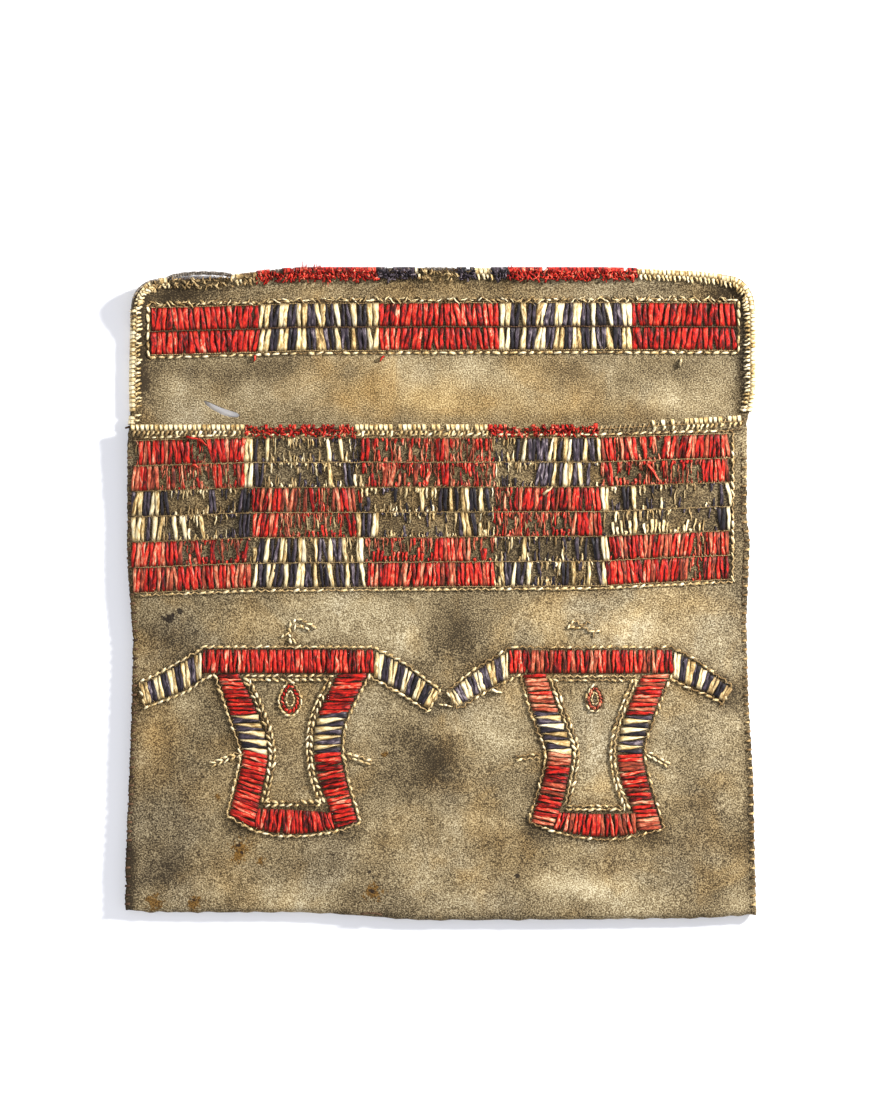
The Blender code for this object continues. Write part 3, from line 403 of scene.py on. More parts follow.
# How fine each unevenness is, in features to the metre, and how dark the whole is set
NAP_SCALE = 2300.0
CLOUD_SCALE = 24.0
PATCH_SCALE = 78.0
MOTTLE_SCALE = 260.0
RAGGED_SCALE = 640.0
COOL_SCALE = 31.0
WARM_SCALE = 44.0
DARKENING = 0.442
COOL_TINT = (0.90, 0.96, 1.12, 1)
WARM_TINT = (1.04, 0.88, 0.62, 1)
OCHRE_TINT = (1.0, 0.80, 0.46, 1)
RUST = ((0.028, 0.013, 0.004, 1), (0.20, 0.10, 0.018, 1))
BLACK = (0.012, 0.008, 0.006, 1)
# Each spot is (x, y, radius) in mm
RUST_SPOTS = [(-64.0, -80.6, 2.9), (-64.3, -83.8, 2.2), (-57.4, -85.2, 1.4), (-21.4, -95.0, 2.9)]
RUST_SPOTS += [(-78.4, -98.2, 2.6), (-91.7, -98.2, 2.7), (66, -58, 0.9), (-17.7, -51, 1.1), (-71, -64.5, 1)]
DARK_SPOTS = [(-86.4, -7.6, 1.9), (-83, -5.6, 1), (24.2, -89.8, 0.9), (-64.4, -80, 0.8), (-63.2, -82.4, 0.5)]
DARK_SPOTS += [(-78.6, -97.6, 0.6), (-21.8, -94.8, 0.8), (-22.6, -88.6, 0.7), (-21.6, -90.0, 0.7)]


def spot(nodes, where, centre, radius, ragged):
    """A mask that is 1 inside a ragged round spot, in metres on the pouch."""
    shifted = nodes.add("VectorMath", {0: where, 1: centre}, operation="SUBTRACT")
    flat = nodes.add("VectorMath", {0: shifted, 1: (1, 1, 0)}, operation="MULTIPLY")
    far = nodes.add("VectorMath", {0: flat}, "Value", operation="LENGTH")
    uneven = nodes.scale(nodes.maths("SUBTRACT", ragged, 0.5), radius * 4.4)
    return nodes.spread(nodes.maths("ADD", far, uneven), radius, radius * 0.6)


def hide_material():
    """Suede gone dark with handling: blotches, stains at known places and a speckled nap, plus painted shade
    in its tone.
    """
    made, nodes, paint = new_material("hide", 0.93)
    place = nodes.place()
    nap = nodes.use(NAP, Where=place, Scale=NAP_SCALE)
    clouds = nodes.noise(place, CLOUD_SCALE, 5.0, 0.6, 0.5)
    patches = nodes.noise(place, PATCH_SCALE, 4.0, 0.6, 0.3)
    mottle = nodes.noise(place, MOTTLE_SCALE, 3.0, 0.6, 0.3)
    tone = nodes.attribute("tone")
    level = nodes.total((clouds, 0.6), (patches, 0.5), (mottle, 0.16), (nap["Speckle"], 0.56), (tone, 0.36))
    base = nodes.ramp(nodes.maths("SUBTRACT", level, DARKENING, clamp=True), HIDE_STOPS)
    noises = (nodes.noise(place, size, 3.0, 0.55, 0.8) for size in (COOL_SCALE, WARM_SCALE))
    cool, warm = (nodes.spread(noise, 0.5, 0.68) for noise in noises)
    ochre = nodes.attribute("ochre")
    for mask, strength, tint in ((cool, 0.55, COOL_TINT), (warm, 0.6, WARM_TINT), (ochre, 0.7, OCHRE_TINT)):
        base = nodes.blend(nodes.scale(mask, strength), base, nodes.blend(1.0, base, tint, "MULTIPLY"))
    ragged = nodes.noise(place, RAGGED_SCALE, 4.0, 0.65)
    rust = nodes.blend(nap["Speckle"], *RUST)
    for spots, strength, colour in ((RUST_SPOTS, 0.92, rust), (DARK_SPOTS, 0.9, BLACK)):
        for x, y, radius in spots:
            mask = spot(nodes, place, (x * MM, y * MM, 0), radius * MM, ragged)
            base = nodes.blend(nodes.scale(mask, strength), base, colour)
    nodes.feed(base, paint["Base Color"])
    height = nodes.total((nap["Height"], 1.0), (patches, 0.6))
    nodes.feed(nodes.bump(height, 0.8, 0.35 * MM), paint["Normal"])
    return made


HIDE = hide_material()
print("materials:", [m.name for m in bpy.data.materials])

# %% [markdown]
# ## The two figures, as drawn
# The hide is darker round the quillwork, so the places of the work come first. Each thunderbird
# has the old hourglass form: a bar with a wing at each end, two curved sides that close in at the
# waist, and a tail. Every part is one lane of quills laid across two drawn curves. The curves
# are given in millimetres from the middle of the bar's upper edge.

# %% The drawn curves
FIGURE_MIDDLES = {"left": Vector((-48.5, -17.7)) * MM, "right": Vector((47.7, -17.8)) * MM}
FIGURES = {
    "left": {
        "bar": ([(-27.4, 0), (27.4, 0)], [(-27.4, -7.5), (27.4, -7.5)]),
        "wing_left": (
            [(-27.8, -0.9), (-34.7, -4.8), (-41.1, -8.3), (-47.2, -11.2)],
            [(-27.6, -8.9), (-33.1, -12.8), (-39.5, -15.4), (-45.9, -17.8)],
        ),
        "wing_right": (
            [(27.8, -0.5), (35.7, -4.5), (42.1, -9.2), (47.9, -13.4)],
            [(27.7, -8.8), (32.6, -11.2), (38.5, -14.9), (45.0, -19.0)],
        ),
        "side_left": (
            [(-22.6, -7.7), (-18.1, -21.4), (-14.7, -31.5), (-15.2, -38.4), (-18.9, -53.0)],
            [(-15.8, -7.7), (-10.4, -18.9), (-6.8, -30.0), (-7.0, -38.0), (-9.2, -48.4), (-10.4, -56.4)],
        ),
        "side_right": (
            [(15.9, -7.7), (9.8, -20.5), (8.2, -30.0), (9.2, -40.0), (12.8, -49.6), (15.0, -56.8)],
            [(25.2, -7.7), (18.4, -21.5), (16.7, -30.5), (18.0, -40.0), (22.2, -55.4)],
        ),
        "tail": (
            [(-9.6, -50.6), (2.0, -51.0), (13.6, -51.9)],
            [(-10.8, -57.0), (-4.0, -58.4), (4.8, -58.6), (15.2, -57.1)],
        ),
    },
    "right": {
        "bar": ([(-26.0, 0), (26.3, 0)], [(-26.0, -7.5), (26.3, -7.5)]),
        "wing_left": (
            [(-26.3, -0.6), (-33.3, -4.8), (-39.7, -9.2), (-45.3, -13.9)],
            [(-26.2, -8.9), (-31.0, -11.4), (-36.5, -14.3), (-42.6, -18.2)],
        ),
        "wing_right": (
            [(26.6, -0.5), (32.3, -3.5), (39.0, -8.2), (45.2, -12.4)],
            [(26.5, -8.8), (31.7, -11.4), (37.1, -13.6), (42.4, -16.6)],
        ),
        "side_left": (
            [(-21.6, -7.7), (-18.3, -20.0), (-14.0, -31.0), (-14.4, -38.7), (-19.0, -55.0)],
            [(-14.3, -7.7), (-10.3, -19.5), (-6.3, -31.0), (-6.8, -38.7), (-9.3, -49.6), (-11.8, -56.4)],
        ),
        "side_right": (
            [(16.5, -7.7), (11.2, -20.5), (8.6, -31.0), (9.6, -41.0), (13.2, -50.4), (15.2, -57.8)],
            [(25.1, -7.7), (20.0, -20.5), (16.6, -31.0), (18.0, -41.0), (22.8, -57.2)],
        ),
        "tail": (
            [(-10.2, -51.8), (2.0, -52.2), (13.8, -52.0)],
            [(-12.0, -57.0), (-4.2, -58.8), (6.2, -59.6), (15.2, -58.4)],
        ),
    },
}


# %% Lines through points
CURVE_STEPS = 12
HEADING_STEP = 0.4 * MM


def curve_through(points):
    """A smooth plane curve through given points."""
    knots = [Vector(p) for p in points]
    ends = [2 * knots[0] - knots[1]] + knots + [2 * knots[-1] - knots[-2]]
    fine = []
    for a, b, c, d in zip(ends, ends[1:], ends[2:], ends[3:]):
        for i in range(CURVE_STEPS):
            t = i / CURVE_STEPS
            bend = 2 * a - 5 * b + 4 * c - d
            turn = -a + 3 * b - 3 * c + d
            fine.append(b + 0.5 * t * ((c - a) + t * (bend + t * turn)))
    fine.append(knots[-1])
    return fine


class Line:
    """A plan line that gives the point and the direction at any distance along it."""

    def __init__(self, points, closed=False):
        self.points = points + points[:1] if closed else points
        steps = [(b - a).length for a, b in zip(self.points, self.points[1:])]
        self.reach = np.concatenate([[0.0], np.cumsum(steps)])
        self.length = self.reach[-1]

    def at(self, distance):
        return Vector([float(np.interp(distance, self.reach, values)) for values in zip(*self.points)])

    def heading(self, distance):
        ahead, behind = self.at(distance + HEADING_STEP), self.at(distance - HEADING_STEP)
        return (ahead - behind).normalized()

    def spaced(self, count):
        """The distances of evenly spaced places along the line."""
        return [self.length * (i + 0.5) / count for i in range(count)]


def left_of(heading):
    return Vector((-heading.y, heading.x))


def placed(points, middle):
    return [middle + Vector(p) * MM for p in points]


def figure_curves(side):
    middle = FIGURE_MIDDLES[side]
    return {part: [curve_through(placed(p, middle)) for p in pair] for part, pair in FIGURES[side].items()}


# %% Lines of the two bands
FLAP_LINES = [(-92.2, 91.2), (-58.2, 92.1), (-44.8, 92.6), (51.2, 92.9), (94.4, 92.7)]
FLAP_LANE = 7.6 * MM
FLAP_LANE_LOW = 7.5 * MM
FLAP_ENDS = (-92.4, -57.9, -19.8, 18.6, 60.8, 94.1)
CHEQUER_TOP = [(-97.6, 48.8), (-60.8, 49.8), (51.2, 49.8), (60, 50.1), (92, 51.0)]
CHEQUER_LANE = [(-98, 8.1), (-61, 8.0), (51, 7.87), (92, 7.73)]
CHEQUER_COLUMNS = (-98.6, -60.4, -24.6, 17.0, 51.2, 92.2)


def flap_line(x, line):
    return float(wander(FLAP_LINES, x)) - (0, FLAP_LANE, FLAP_LANE + FLAP_LANE_LOW)[line]


def chequer_line(x, line):
    top = np.interp(x / MM, *zip(*CHEQUER_TOP))
    return float(top - line * np.interp(x / MM, *zip(*CHEQUER_LANE))) * MM


Band = namedtuple("Band", "line_at ground left right")
FLAP = Band(flap_line, flap_face, FLAP_ENDS[0] * MM, FLAP_ENDS[-1] * MM)
CHEQUER = Band(chequer_line, front_face, CHEQUER_COLUMNS[0] * MM, CHEQUER_COLUMNS[-1] * MM)
print("flap band, mm:", FLAP_ENDS[0], "to", FLAP_ENDS[-1])

# %% [markdown]
# ## The hide
# A real pouch starts as one long sheet. So does this one: a fine grid is laid out from the top of
# the flap, down the back, round the fold and up the front, and each vertex is sent to its place
# on that route. The columns crowd towards the edges, where the hide is scalloped by its stitches.
# The slit in the flap is cut while the sheet is still thin, and Solidify then gives it thickness.

# %% The sheet
COLUMNS = 96
BACK_ROWS = 176
FOLD_ROWS = 8
FRONT_ROWS = 138
ALL_ROWS = BACK_ROWS + FOLD_ROWS + FRONT_ROWS
STITCH_PITCH = 2.9 * MM
SCALLOP = 0.42 * MM
CROWDING = 0.115
TOP_CROWDING = 0.0144


def ragged_edge(y, seed):
    """How a cut and stitched edge leaves its line: scallops and small nicks."""
    scallops = SCALLOP * np.abs(np.sin(np.pi * y / STITCH_PITCH + seed))
    return scallops + 0.22 * MM * ripple(y, y * 0, 5 * MM, seed) - 0.65 * MM


def across_at(u, y, inset=0.0):
    """A place across the hide for u from 0 to 1, with more columns near both edges."""
    left = left_edge(y) + inset + ragged_edge(y, 11) * 0.7
    right = right_edge(y) - inset - ragged_edge(y, 12) * 0.7
    return left + (right - left) * (u - CROWDING * np.sin(2 * np.pi * u))


def on_back(u, down):
    """A place on the flap or the back, down being 0 at the flap's top and 1 at the fold."""
    x = (u - 0.5) * HIDE_WIDTH
    for _ in range(3):
        reach = top_edge(x) - (fold_edge(x) + FOLD_REACH)
        near_top = np.minimum(down * reach, FLAP_CORNER)
        inset = FLAP_CORNER - np.sqrt(np.maximum(FLAP_CORNER**2 - (FLAP_CORNER - near_top) ** 2, 0))
        y = top_edge(x) - down * reach
        x = across_at(u, y, inset)
    nick = 0.16 * MM * ripple(x, x * 0, 4 * MM, 21) * np.clip(1 - down * 40, 0, 1)
    return x, y - nick, back_low(x, y) + HIDE_THICKNESS / 2


def on_front(u, up):
    x = (u - 0.5) * HIDE_WIDTH
    for _ in range(3):
        low = fold_edge(x) + FOLD_REACH
        y = low + (mouth_edge(x) - low) * up
        x = across_at(u, y)
    return x, y, front_low(x, y) + HIDE_THICKNESS / 2 + relief(x, y)


def on_sheet(u, row):
    """Where the sheet's vertex lies. Rows count from the top of the flap to the mouth."""
    down = np.clip(row / BACK_ROWS, 0, 1)
    down = down - TOP_CROWDING * np.sin(np.pi * np.clip(down * 12, 0, 1))
    up = np.clip((row - BACK_ROWS - FOLD_ROWS) / FRONT_ROWS, 0, 1)
    turn = np.pi * np.clip((row - BACK_ROWS) / FOLD_ROWS, 0, 1)
    share = (1 - np.cos(turn)) / 2
    x, y, z = (back + (front - back) * share for back, front in zip(on_back(u, down), on_front(u, up)))
    wave = 0.25 * MM * ripple(x, x * 0, 7 * MM, 31)
    return x, y - (FOLD_REACH - HIDE_THICKNESS / 2 + wave) * np.sin(turn), z


def make_sheet_grid():
    bm = bmesh.new()
    bmesh.ops.create_grid(bm, x_segments=COLUMNS, y_segments=ALL_ROWS, size=0.5)
    spots = np.array([v.co for v in bm.verts])
    row = (0.5 - spots[:, 1]) * ALL_ROWS
    places = np.stack(on_sheet(spots[:, 0] + 0.5, row), axis=1)
    front = bm.verts.layers.float.new("front")
    for vert, place, value in zip(bm.verts, places, row > BACK_ROWS + FOLD_ROWS / 2):
        vert.co = place
        vert[front] = float(value)
    return bm


sheet = make_sheet_grid()
print("sheet:", len(sheet.verts), "vertices")

# %% [markdown]
# The slit is a crescent about 12 mm long, low on the flap's left side. Its outline is pressed into
# the thin sheet with bisect_plane, one straight cut for each side of the outline and only in the
# faces near it. Then the faces inside are deleted, which leaves a clean edge in a coarse grid.

# %% The slit
SLIT_MIDDLE = Vector((-69.9, 58.6)) * MM
SLIT_LENGTH = 11.6 * MM
SLIT_WIDTH = 2.1 * MM
SLIT_BOW = 0.9 * MM
SLIT_FALL = 4.6 * MM
CUT_REACH = 3.4 * MM


def slit_outline():
    upper, lower = [], []
    for i in range(7):
        t = 0.5 * math.sin(math.pi * (i / 6 - 0.5))
        middle = SLIT_MIDDLE + Vector((SLIT_LENGTH * t, SLIT_BOW * (4 * t * t - 0.4) - SLIT_FALL * t))
        wide = SLIT_WIDTH / 2 * (max(math.cos(math.pi * t), 0.0) ** 0.3) * (1 + 0.25 * t)
        upper.append(middle + Vector((0, wide)))
        lower.append(middle - Vector((0, wide)))
    return upper + lower[-2:0:-1]


def inside(point, sides):
    """Whether a plan point lies in a closed outline, by counting crossings."""
    crossings = 0
    for a, b in sides:
        if (a.y > point.y) != (b.y > point.y):
            crossings += point.x < a.x + (b.x - a.x) * (point.y - a.y) / (b.y - a.y)
    return crossings % 2 == 1


def cut_slit(bm):
    outline = slit_outline()
    sides = list(zip(outline, outline[1:] + outline[:1]))
    front = bm.verts.layers.float["front"]

    def back_faces(middle, reach):
        faces = [f for f in bm.faces if f.verts[0][front] < 0.5]
        return [f for f in faces if (f.calc_center_median().xy - middle).length < reach]

    for a, b in sides:
        near = back_faces((a + b) / 2, CUT_REACH)
        parts = near + list(dict.fromkeys(e for f in near for e in f.edges))
        parts += list(dict.fromkeys(v for f in near for v in f.verts))
        across = Vector((b.y - a.y, a.x - b.x, 0)).normalized()
        bmesh.ops.bisect_plane(bm, geom=parts, dist=1e-6, plane_co=(*a, 0), plane_no=across)
    hole = [f for f in back_faces(SLIT_MIDDLE, SLIT_LENGTH) if inside(f.calc_center_median().xy, sides)]
    bmesh.ops.delete(bm, geom=hole, context="FACES")
    return len(hole)


print("faces cut for the slit:", cut_slit(sheet))

# %% [markdown]
# Handling has darkened the hide in some places and rubbed it pale in others. The narrow dark
# strips along its edges, at its corners and beside the flap's left rim are partly painted shade,
# where the hide turns at its rims. Those places are known, so they aren't left to noise: each is a
# soft round patch with a place, a reach and a strength, and the sum is stored on the mesh for the
# material to read.

# %% Stains, rubbed places and painted shade
# Each is (x, y, reach across, reach along, strength) in mm, dark below 0 and pale above
# The narrow dark strips at the edges and corners, and beside the flap's left rim, are partly painted shade
FLAP_TONES = [
    (-46, 68, 6, 5, 0.6), (-60, 66, 6, 4, 0.25), (92, 95, 6, 4, -0.8), (-90, 94.5, 7, 4, -0.6),
    (73, 62, 9, 4, 0.35), (-78, 96, 9, 3, -0.3), (0, 68, 26, 7, 0.35), (-55, 71, 14, 5, -0.5),
    (-92, 72, 6, 12, -0.55), (-70, 72, 8, 5, -0.2), (-20, 66, 20, 8, 0.1), (45, 66, 22, 7, 0.15),
    (78, 68, 14, 8, -0.15), (90, 92, 6, 8, -0.4), (-10, 97, 60, 4, -0.15), (70, 97, 20, 3, -0.3),
    (-94, 60, 5, 6, -0.3), (0, 101, 95, 1.6, -0.35), (-82, 97, 12, 4.5, -0.55), (-95.5, 82, 2.4, 20, -0.9),
    (96.5, 90, 2.6, 9, -0.7), (96.8, 72, 2.0, 18, -1.1), (66, 71, 10, 5, -0.4), (-96.5, 84, 2.0, 16, -0.6),
    (-98, 100, 4, 4, -1.2), (97, 100, 4, 4, -1.2), (10, 60, 60, 3, 0.2),
]
FRONT_TONES = [
    (-3, -52, 9, 9, -1.1), (6, -14, 9, 11, -0.95), (-6, -6, 8, 5, 0.25), (20, -46, 6, 7, 0.25),
    (-10, -16, 6, 6, 0.2), (-86, -14, 12, 10, -0.5), (-82, -50, 10, 12, -0.35), (-58, -66, 8, 10, -0.25),
    (-26, -8, 16, 8, 0.5), (-86, -50, 12, 14, 0.2), (-48, -44, 6, 12, 0.4), (28, -6, 8, 6, 0.25),
    (67, -14, 18, 8, 0.35), (-56, -8, 12, 5, 0.2), (37, -92, 8, 4.5, 0.9), (50, -95, 6, 3.5, 0.8),
    (60, -91, 6, 3, 0.35), (-60, -94, 24, 6, 0.3), (0, -30, 8, 12, 0.12), (84, -80, 12, 20, -0.25),
    (12, -80, 16, 10, -0.12), (-28, -76, 14, 10, 0.1), (30, -62, 8, 14, -0.2), (78, -50, 8, 10, -0.2),
    (48, -50, 6, 14, 0.3), (-46, -40, 5, 8, 0.15), (-52, -88, 30, 9, -0.32), (-88, -70, 8, 14, -0.1),
    (-48, -50, 6, 10, -0.3), (3, -52, 5, 6, -0.3), (8, -72, 30, 5, 0.12), (94, 25, 3, 28, -0.4),
    (-99.5, -40, 2.2, 60, -0.95), (99.5, -40, 2.8, 60, -1.1), (-100, -101, 2.5, 3.5, -0.9),
    (-100, -92, 3.2, 12, -1.2), (-83, -86, 6, 6, -0.35), (-90, -89, 7, 7, -0.5), (-94, -80, 4, 9, -0.3),
    (-12, -88, 11, 8, 0.3), (0, -103, 98, 2.5, -0.35), (0, 0.5, 95, 2.5, -0.2), (84, -76, 8, 8, -0.2),
]
OCHRES = [
    (-90, -44, 8, 12, 0.8), (-50, -70, 20, 9, 0.4), (-25, 66, 16, 8, 0.6), (80, -30, 8, 5, 0.7),
    (20, -84, 16, 8, 0.5), (-70, -90, 12, 8, 0.4), (60, -75, 20, 10, 0.4), (30, -24, 12, 6, 0.4),
    (-10, 30, 30, 14, 0.5), (-48, -44, 7, 18, 0.5), (-10, 97, 60, 4, 0.5), (50, 40, 30, 12, 0.3),
    (2, 61, 28, 7, 0.9), (45, 58, 22, 4, 0.6),
]
# How dark the hide is made under the work: painted shade for the gaps between quills, and dirt
BAND_SHADE_AND_SOIL = 0.6
LANE_SHADE_AND_SOIL = 0.8
SHADE_AND_SOIL_REACH = 1.6 * MM
LANE_REACH = 5.4 * MM


def patches_at(x, y, patches):
    total = np.zeros(len(x))
    uneven = 1 + 0.35 * ripple(x, y, 12 * MM, 51)
    for px, py, across, along, strength in patches:
        far = ((x / MM - px) / across) ** 2 + ((y / MM - py) / along) ** 2
        total += strength * np.exp(-far * uneven)
    return total


def inside_band(x, y, band, low_line):
    """How deep a place lies in a band, from 0 outside to 1 inside, with a soft rim."""
    upper, lower = (np.array([band.line_at(place, line) for place in x]) for line in (0, low_line))
    depth = np.minimum(np.minimum(upper - y, y - lower), np.minimum(x - band.left, band.right - x))
    return ease(depth / SHADE_AND_SOIL_REACH * 0.5 + 0.7)


def shade_and_soil_under_work(x, y):
    """Painted shade and dirt in the hide under and between the quills and threads, from 0 to 1."""
    bands = np.maximum(inside_band(x, y, FLAP, 2), inside_band(x, y, CHEQUER, 6))
    lanes = np.zeros(len(x))
    for side, parts in FIGURES.items():
        for pair in parts.values():
            one, two = (Line(placed(curve, FIGURE_MIDDLES[side])) for curve in pair)
            for share in np.linspace(0, 1, 9):
                centre = (one.at(one.length * share) + two.at(two.length * share)) / 2
                far = np.hypot(x - centre.x, y - centre.y) / LANE_REACH
                lanes = np.maximum(lanes, np.exp(-(far**3)))
    return np.maximum(bands * BAND_SHADE_AND_SOIL, lanes * LANE_SHADE_AND_SOIL)


def add_object(name, bm, material):
    """Turns a bmesh into an object with one material."""
    mesh = bpy.data.meshes.new(name)
    bm.to_mesh(mesh)
    bm.free()
    mesh.materials.append(material)
    made = bpy.data.objects.new(name, mesh)
    bpy.context.scene.collection.objects.link(made)
    return made


def set_values(mesh, name, values):
    mesh.attributes.new(name, "FLOAT", "POINT").data.foreach_set("value", values)


def finish_hide(bm):
    piece = add_object("hide_sheet", bm, HIDE)
    mesh = piece.data
    places = np.empty(len(mesh.vertices) * 3, dtype=np.float32)
    mesh.vertices.foreach_get("co", places)
    x, y, _ = places.reshape(-1, 3).T.astype(float)
    front = np.empty(len(x), dtype=np.float32)
    mesh.attributes["front"].data.foreach_get("value", front)
    # The tone takes away the painted shade and dirt under the quillwork
    tone = patches_at(x, y, FLAP_TONES + FRONT_TONES) - shade_and_soil_under_work(x, y)
    behind = (front < 0.5) & (y < mouth_edge(x) - 4 * MM)
    set_values(mesh, "tone", np.where(behind, 0.25 * ripple(x, y, 40 * MM, 61), tone).astype(np.float32))
    set_values(mesh, "ochre", np.clip(patches_at(x, y, OCHRES), 0, 1).astype(np.float32))
    mesh.shade_smooth()
    wall = piece.modifiers.new("Thickness", "SOLIDIFY")
    wall.thickness = HIDE_THICKNESS
    wall.offset = 0.0
    wall.use_even_offset = True
    return piece


def settle(piece, slot, *nodes):
    """A finished piece rides on the pouch and stands for the plain nodes that it dresses."""
    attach(piece, "root")
    if nodes:
        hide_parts(*nodes)
    print(piece.name, len(piece.data.polygons), "faces")
    return piece


hide = settle(finish_hide(sheet), "hide", "hide_body")

# %% [markdown]
# ## One template, many quills
# There are over a thousand folded quills, so each may have only a few dozen faces. A short tube is
# made once with bmesh operators and flattened. Every stroke is then a copy of it, bent to its own
# place by a formula: across runs over its width, along runs from one fold to the other, and high
# tells its back from its underside. Threads and fibres are copies of a plainer tube.


# %% The templates
def tube_template(name, sides, cuts):
    """A tube along +Y from 0 to 1, one unit in radius, with places for streaks on it."""
    bm = bmesh.new()
    bmesh.ops.create_cone(bm, cap_ends=True, segments=sides, radius1=1, radius2=1, depth=1)
    long_edges = [e for e in bm.edges if abs(e.verts[0].co.z - e.verts[1].co.z) > 0.5]
    bmesh.ops.subdivide_edges(bm, edges=long_edges, cuts=cuts, use_grid_fill=True)
    for angle, axis in ((math.pi / sides, "Z"), (-math.pi / 2, "X")):
        bmesh.ops.rotate(bm, verts=bm.verts, cent=(0, 0, 0), matrix=Matrix.Rotation(angle, 3, axis))
    bmesh.ops.translate(bm, verts=bm.verts, vec=(0, 0.5, 0))
    bmesh.ops.recalc_face_normals(bm, faces=bm.faces)
    layer = bm.loops.layers.uv.new("quill")
    for face in bm.faces:
        for loop in face.loops:
            loop[layer].uv = (loop.vert.co.x * 0.5 + 0.5, loop.vert.co.y)
    mesh = bpy.data.meshes.new(name)
    bm.to_mesh(mesh)
    bm.free()
    mesh.shade_smooth()
    return mesh


def template_points(template):
    points = np.empty(len(template.vertices) * 3)
    template.vertices.foreach_get("co", points)
    return points.reshape(-1, 3).T


QUILL = tube_template("quill_template", 8, 5)
STRAND = tube_template("strand_template", 4, 1)
QUILL_POINTS = template_points(QUILL)
STRAND_POINTS = template_points(STRAND)


def add_piece(name, template, copies, finish, *nodes):
    """One piece from many bent copies of a template. A copy is its points and its shade."""
    bm = bmesh.new()
    for _ in copies:
        bm.from_mesh(template)
    material, slot = FINISHES[finish]
    piece = add_object(name, bm, material)
    mesh = piece.data
    mesh.vertices.foreach_set("co", np.concatenate([points for points, _ in copies]).ravel())
    set_values(mesh, "shade", np.repeat([shade for _, shade in copies], len(template.vertices)))
    mesh.update()
    settle(piece, slot, *nodes)


def add_colours(pattern, palette, nodes):
    """A piece for each colour of a palette, with the plain nodes that it stands for."""
    for colour, names in nodes.items():
        add_piece(pattern.format(colour), QUILL, palette[colour], colour, *names)


print("faces in a quill:", len(QUILL.polygons))

# %% [markdown]
# A flattened quill is widest at the fold where it turns back, and narrow where the next turn lies
# over it. Neighbours turn at opposite sides of the lane, which gives the band its teeth. So a
# stroke has a head and a tail, and every second one is laid the other way round.

# %% One stroke
QUILL_WIDTH = 1.84 * MM
QUILL_RISE = 0.66 * MM
QUILL_TUCK = 0.22 * MM
TAIL_SHARE = 0.62
STUB_TAIL = 0.6
SUNK = 0.04 * MM


def swelling(along, low, high):
    return np.clip(np.sin(np.pi * np.clip(along, low, high)), 0, 1)


def stroke(start, end, ground, chance, width=QUILL_WIDTH, rise=QUILL_RISE, tail=TAIL_SHARE):
    """A folded quill from its head at start to its tail at end, as a copy."""
    across, along, high = QUILL_POINTS
    start, end = Vector(start), Vector(end)
    run = end - start
    side = left_of(run).normalized()
    bow = chance.about(0.16) * MM
    twist = chance.about(0.22) * MM
    wide = width / 2 * chance.uniform(0.78, 1.2)
    lift = rise * chance.uniform(0.75, 1.2)
    crease = chance.about(0.4)
    swell = swelling(along * 0.94 + 0.03, 0, 1)
    outline = (1 + (tail - 1) * along) * (0.68 + 0.32 * swell**0.35)
    kink = 0.13 * MM * np.sin(along * chance.uniform(5, 11) + chance.uniform(0, 6))
    shift = across * wide * outline + bow * np.sin(np.pi * along) + kink * swell
    x = start.x + run.x * along + side.x * shift
    y = start.y + run.y * along + side.y * shift
    arch = QUILL_TUCK + lift * swell**0.42 * (1.08 - 0.3 * along)
    arch = arch * (1 + 0.14 * np.sin(along * chance.uniform(6, 13) + chance.uniform(0, 6)))
    sides = chance.uniform(0.45, 0.85), chance.uniform(0.45, 0.85)
    ridges = 1 - max(crease, 0), 1 - max(-crease, 0)
    folds = np.interp(across, (-0.93, -0.38, 0.38, 0.93), (sides[0], *ridges, sides[1]))
    z = ground(x, y) + np.where(high > 0.1, folds * arch + twist * across * swell, SUNK)
    return np.stack([x, y, z], axis=1), chance.random()


# %% [markdown]
# ## The flap's band
# Two lanes of quills run across the flap in five blocks. The red blocks are plain. The striped
# blocks have a ground of white quills with a pair of blue ones every few millimetres.

# %% Flap band
STROKE_PITCH = 1.4 * MM
FLAP_BLUES = ([-53.1, -47.4, -41.3, -35.5, -30.4, -25.0], [23.7, 29.1, 34.9, 40.6, 46.1, 51.2, 56.3])
BLUE_WIDTH = 2.9
BLUE_NARROW = 0.84
FLAP_PITCH = 1.72 * MM
FLAP_QUILL = 2.35 * MM
FLAP_TAIL = 0.55
DEEP_SHADE = 0.72
LEAN_DRIFT = 7.0 * MM
LANE_GAP = 0.05 * MM
DULL_SHARE = 0.3


def lay_lane(palette, runs, band, lane, chance, pitch, width=QUILL_WIDTH, tail=TAIL_SHARE):
    """Strokes between two lines of a band, for runs of (colour, kind, start, end) in mm."""
    turn = 0
    for colour, kind, start, end in runs:
        count = max(1, round((end - start) * MM / pitch))
        for i in range(count):
            x = (start + (end - start) * (i + 0.5) / count) * MM + chance.about(0.12) * MM
            turn += 1
            lay_stroke(palette, colour, kind, x, turn % 2, band, lane, chance, width, tail)


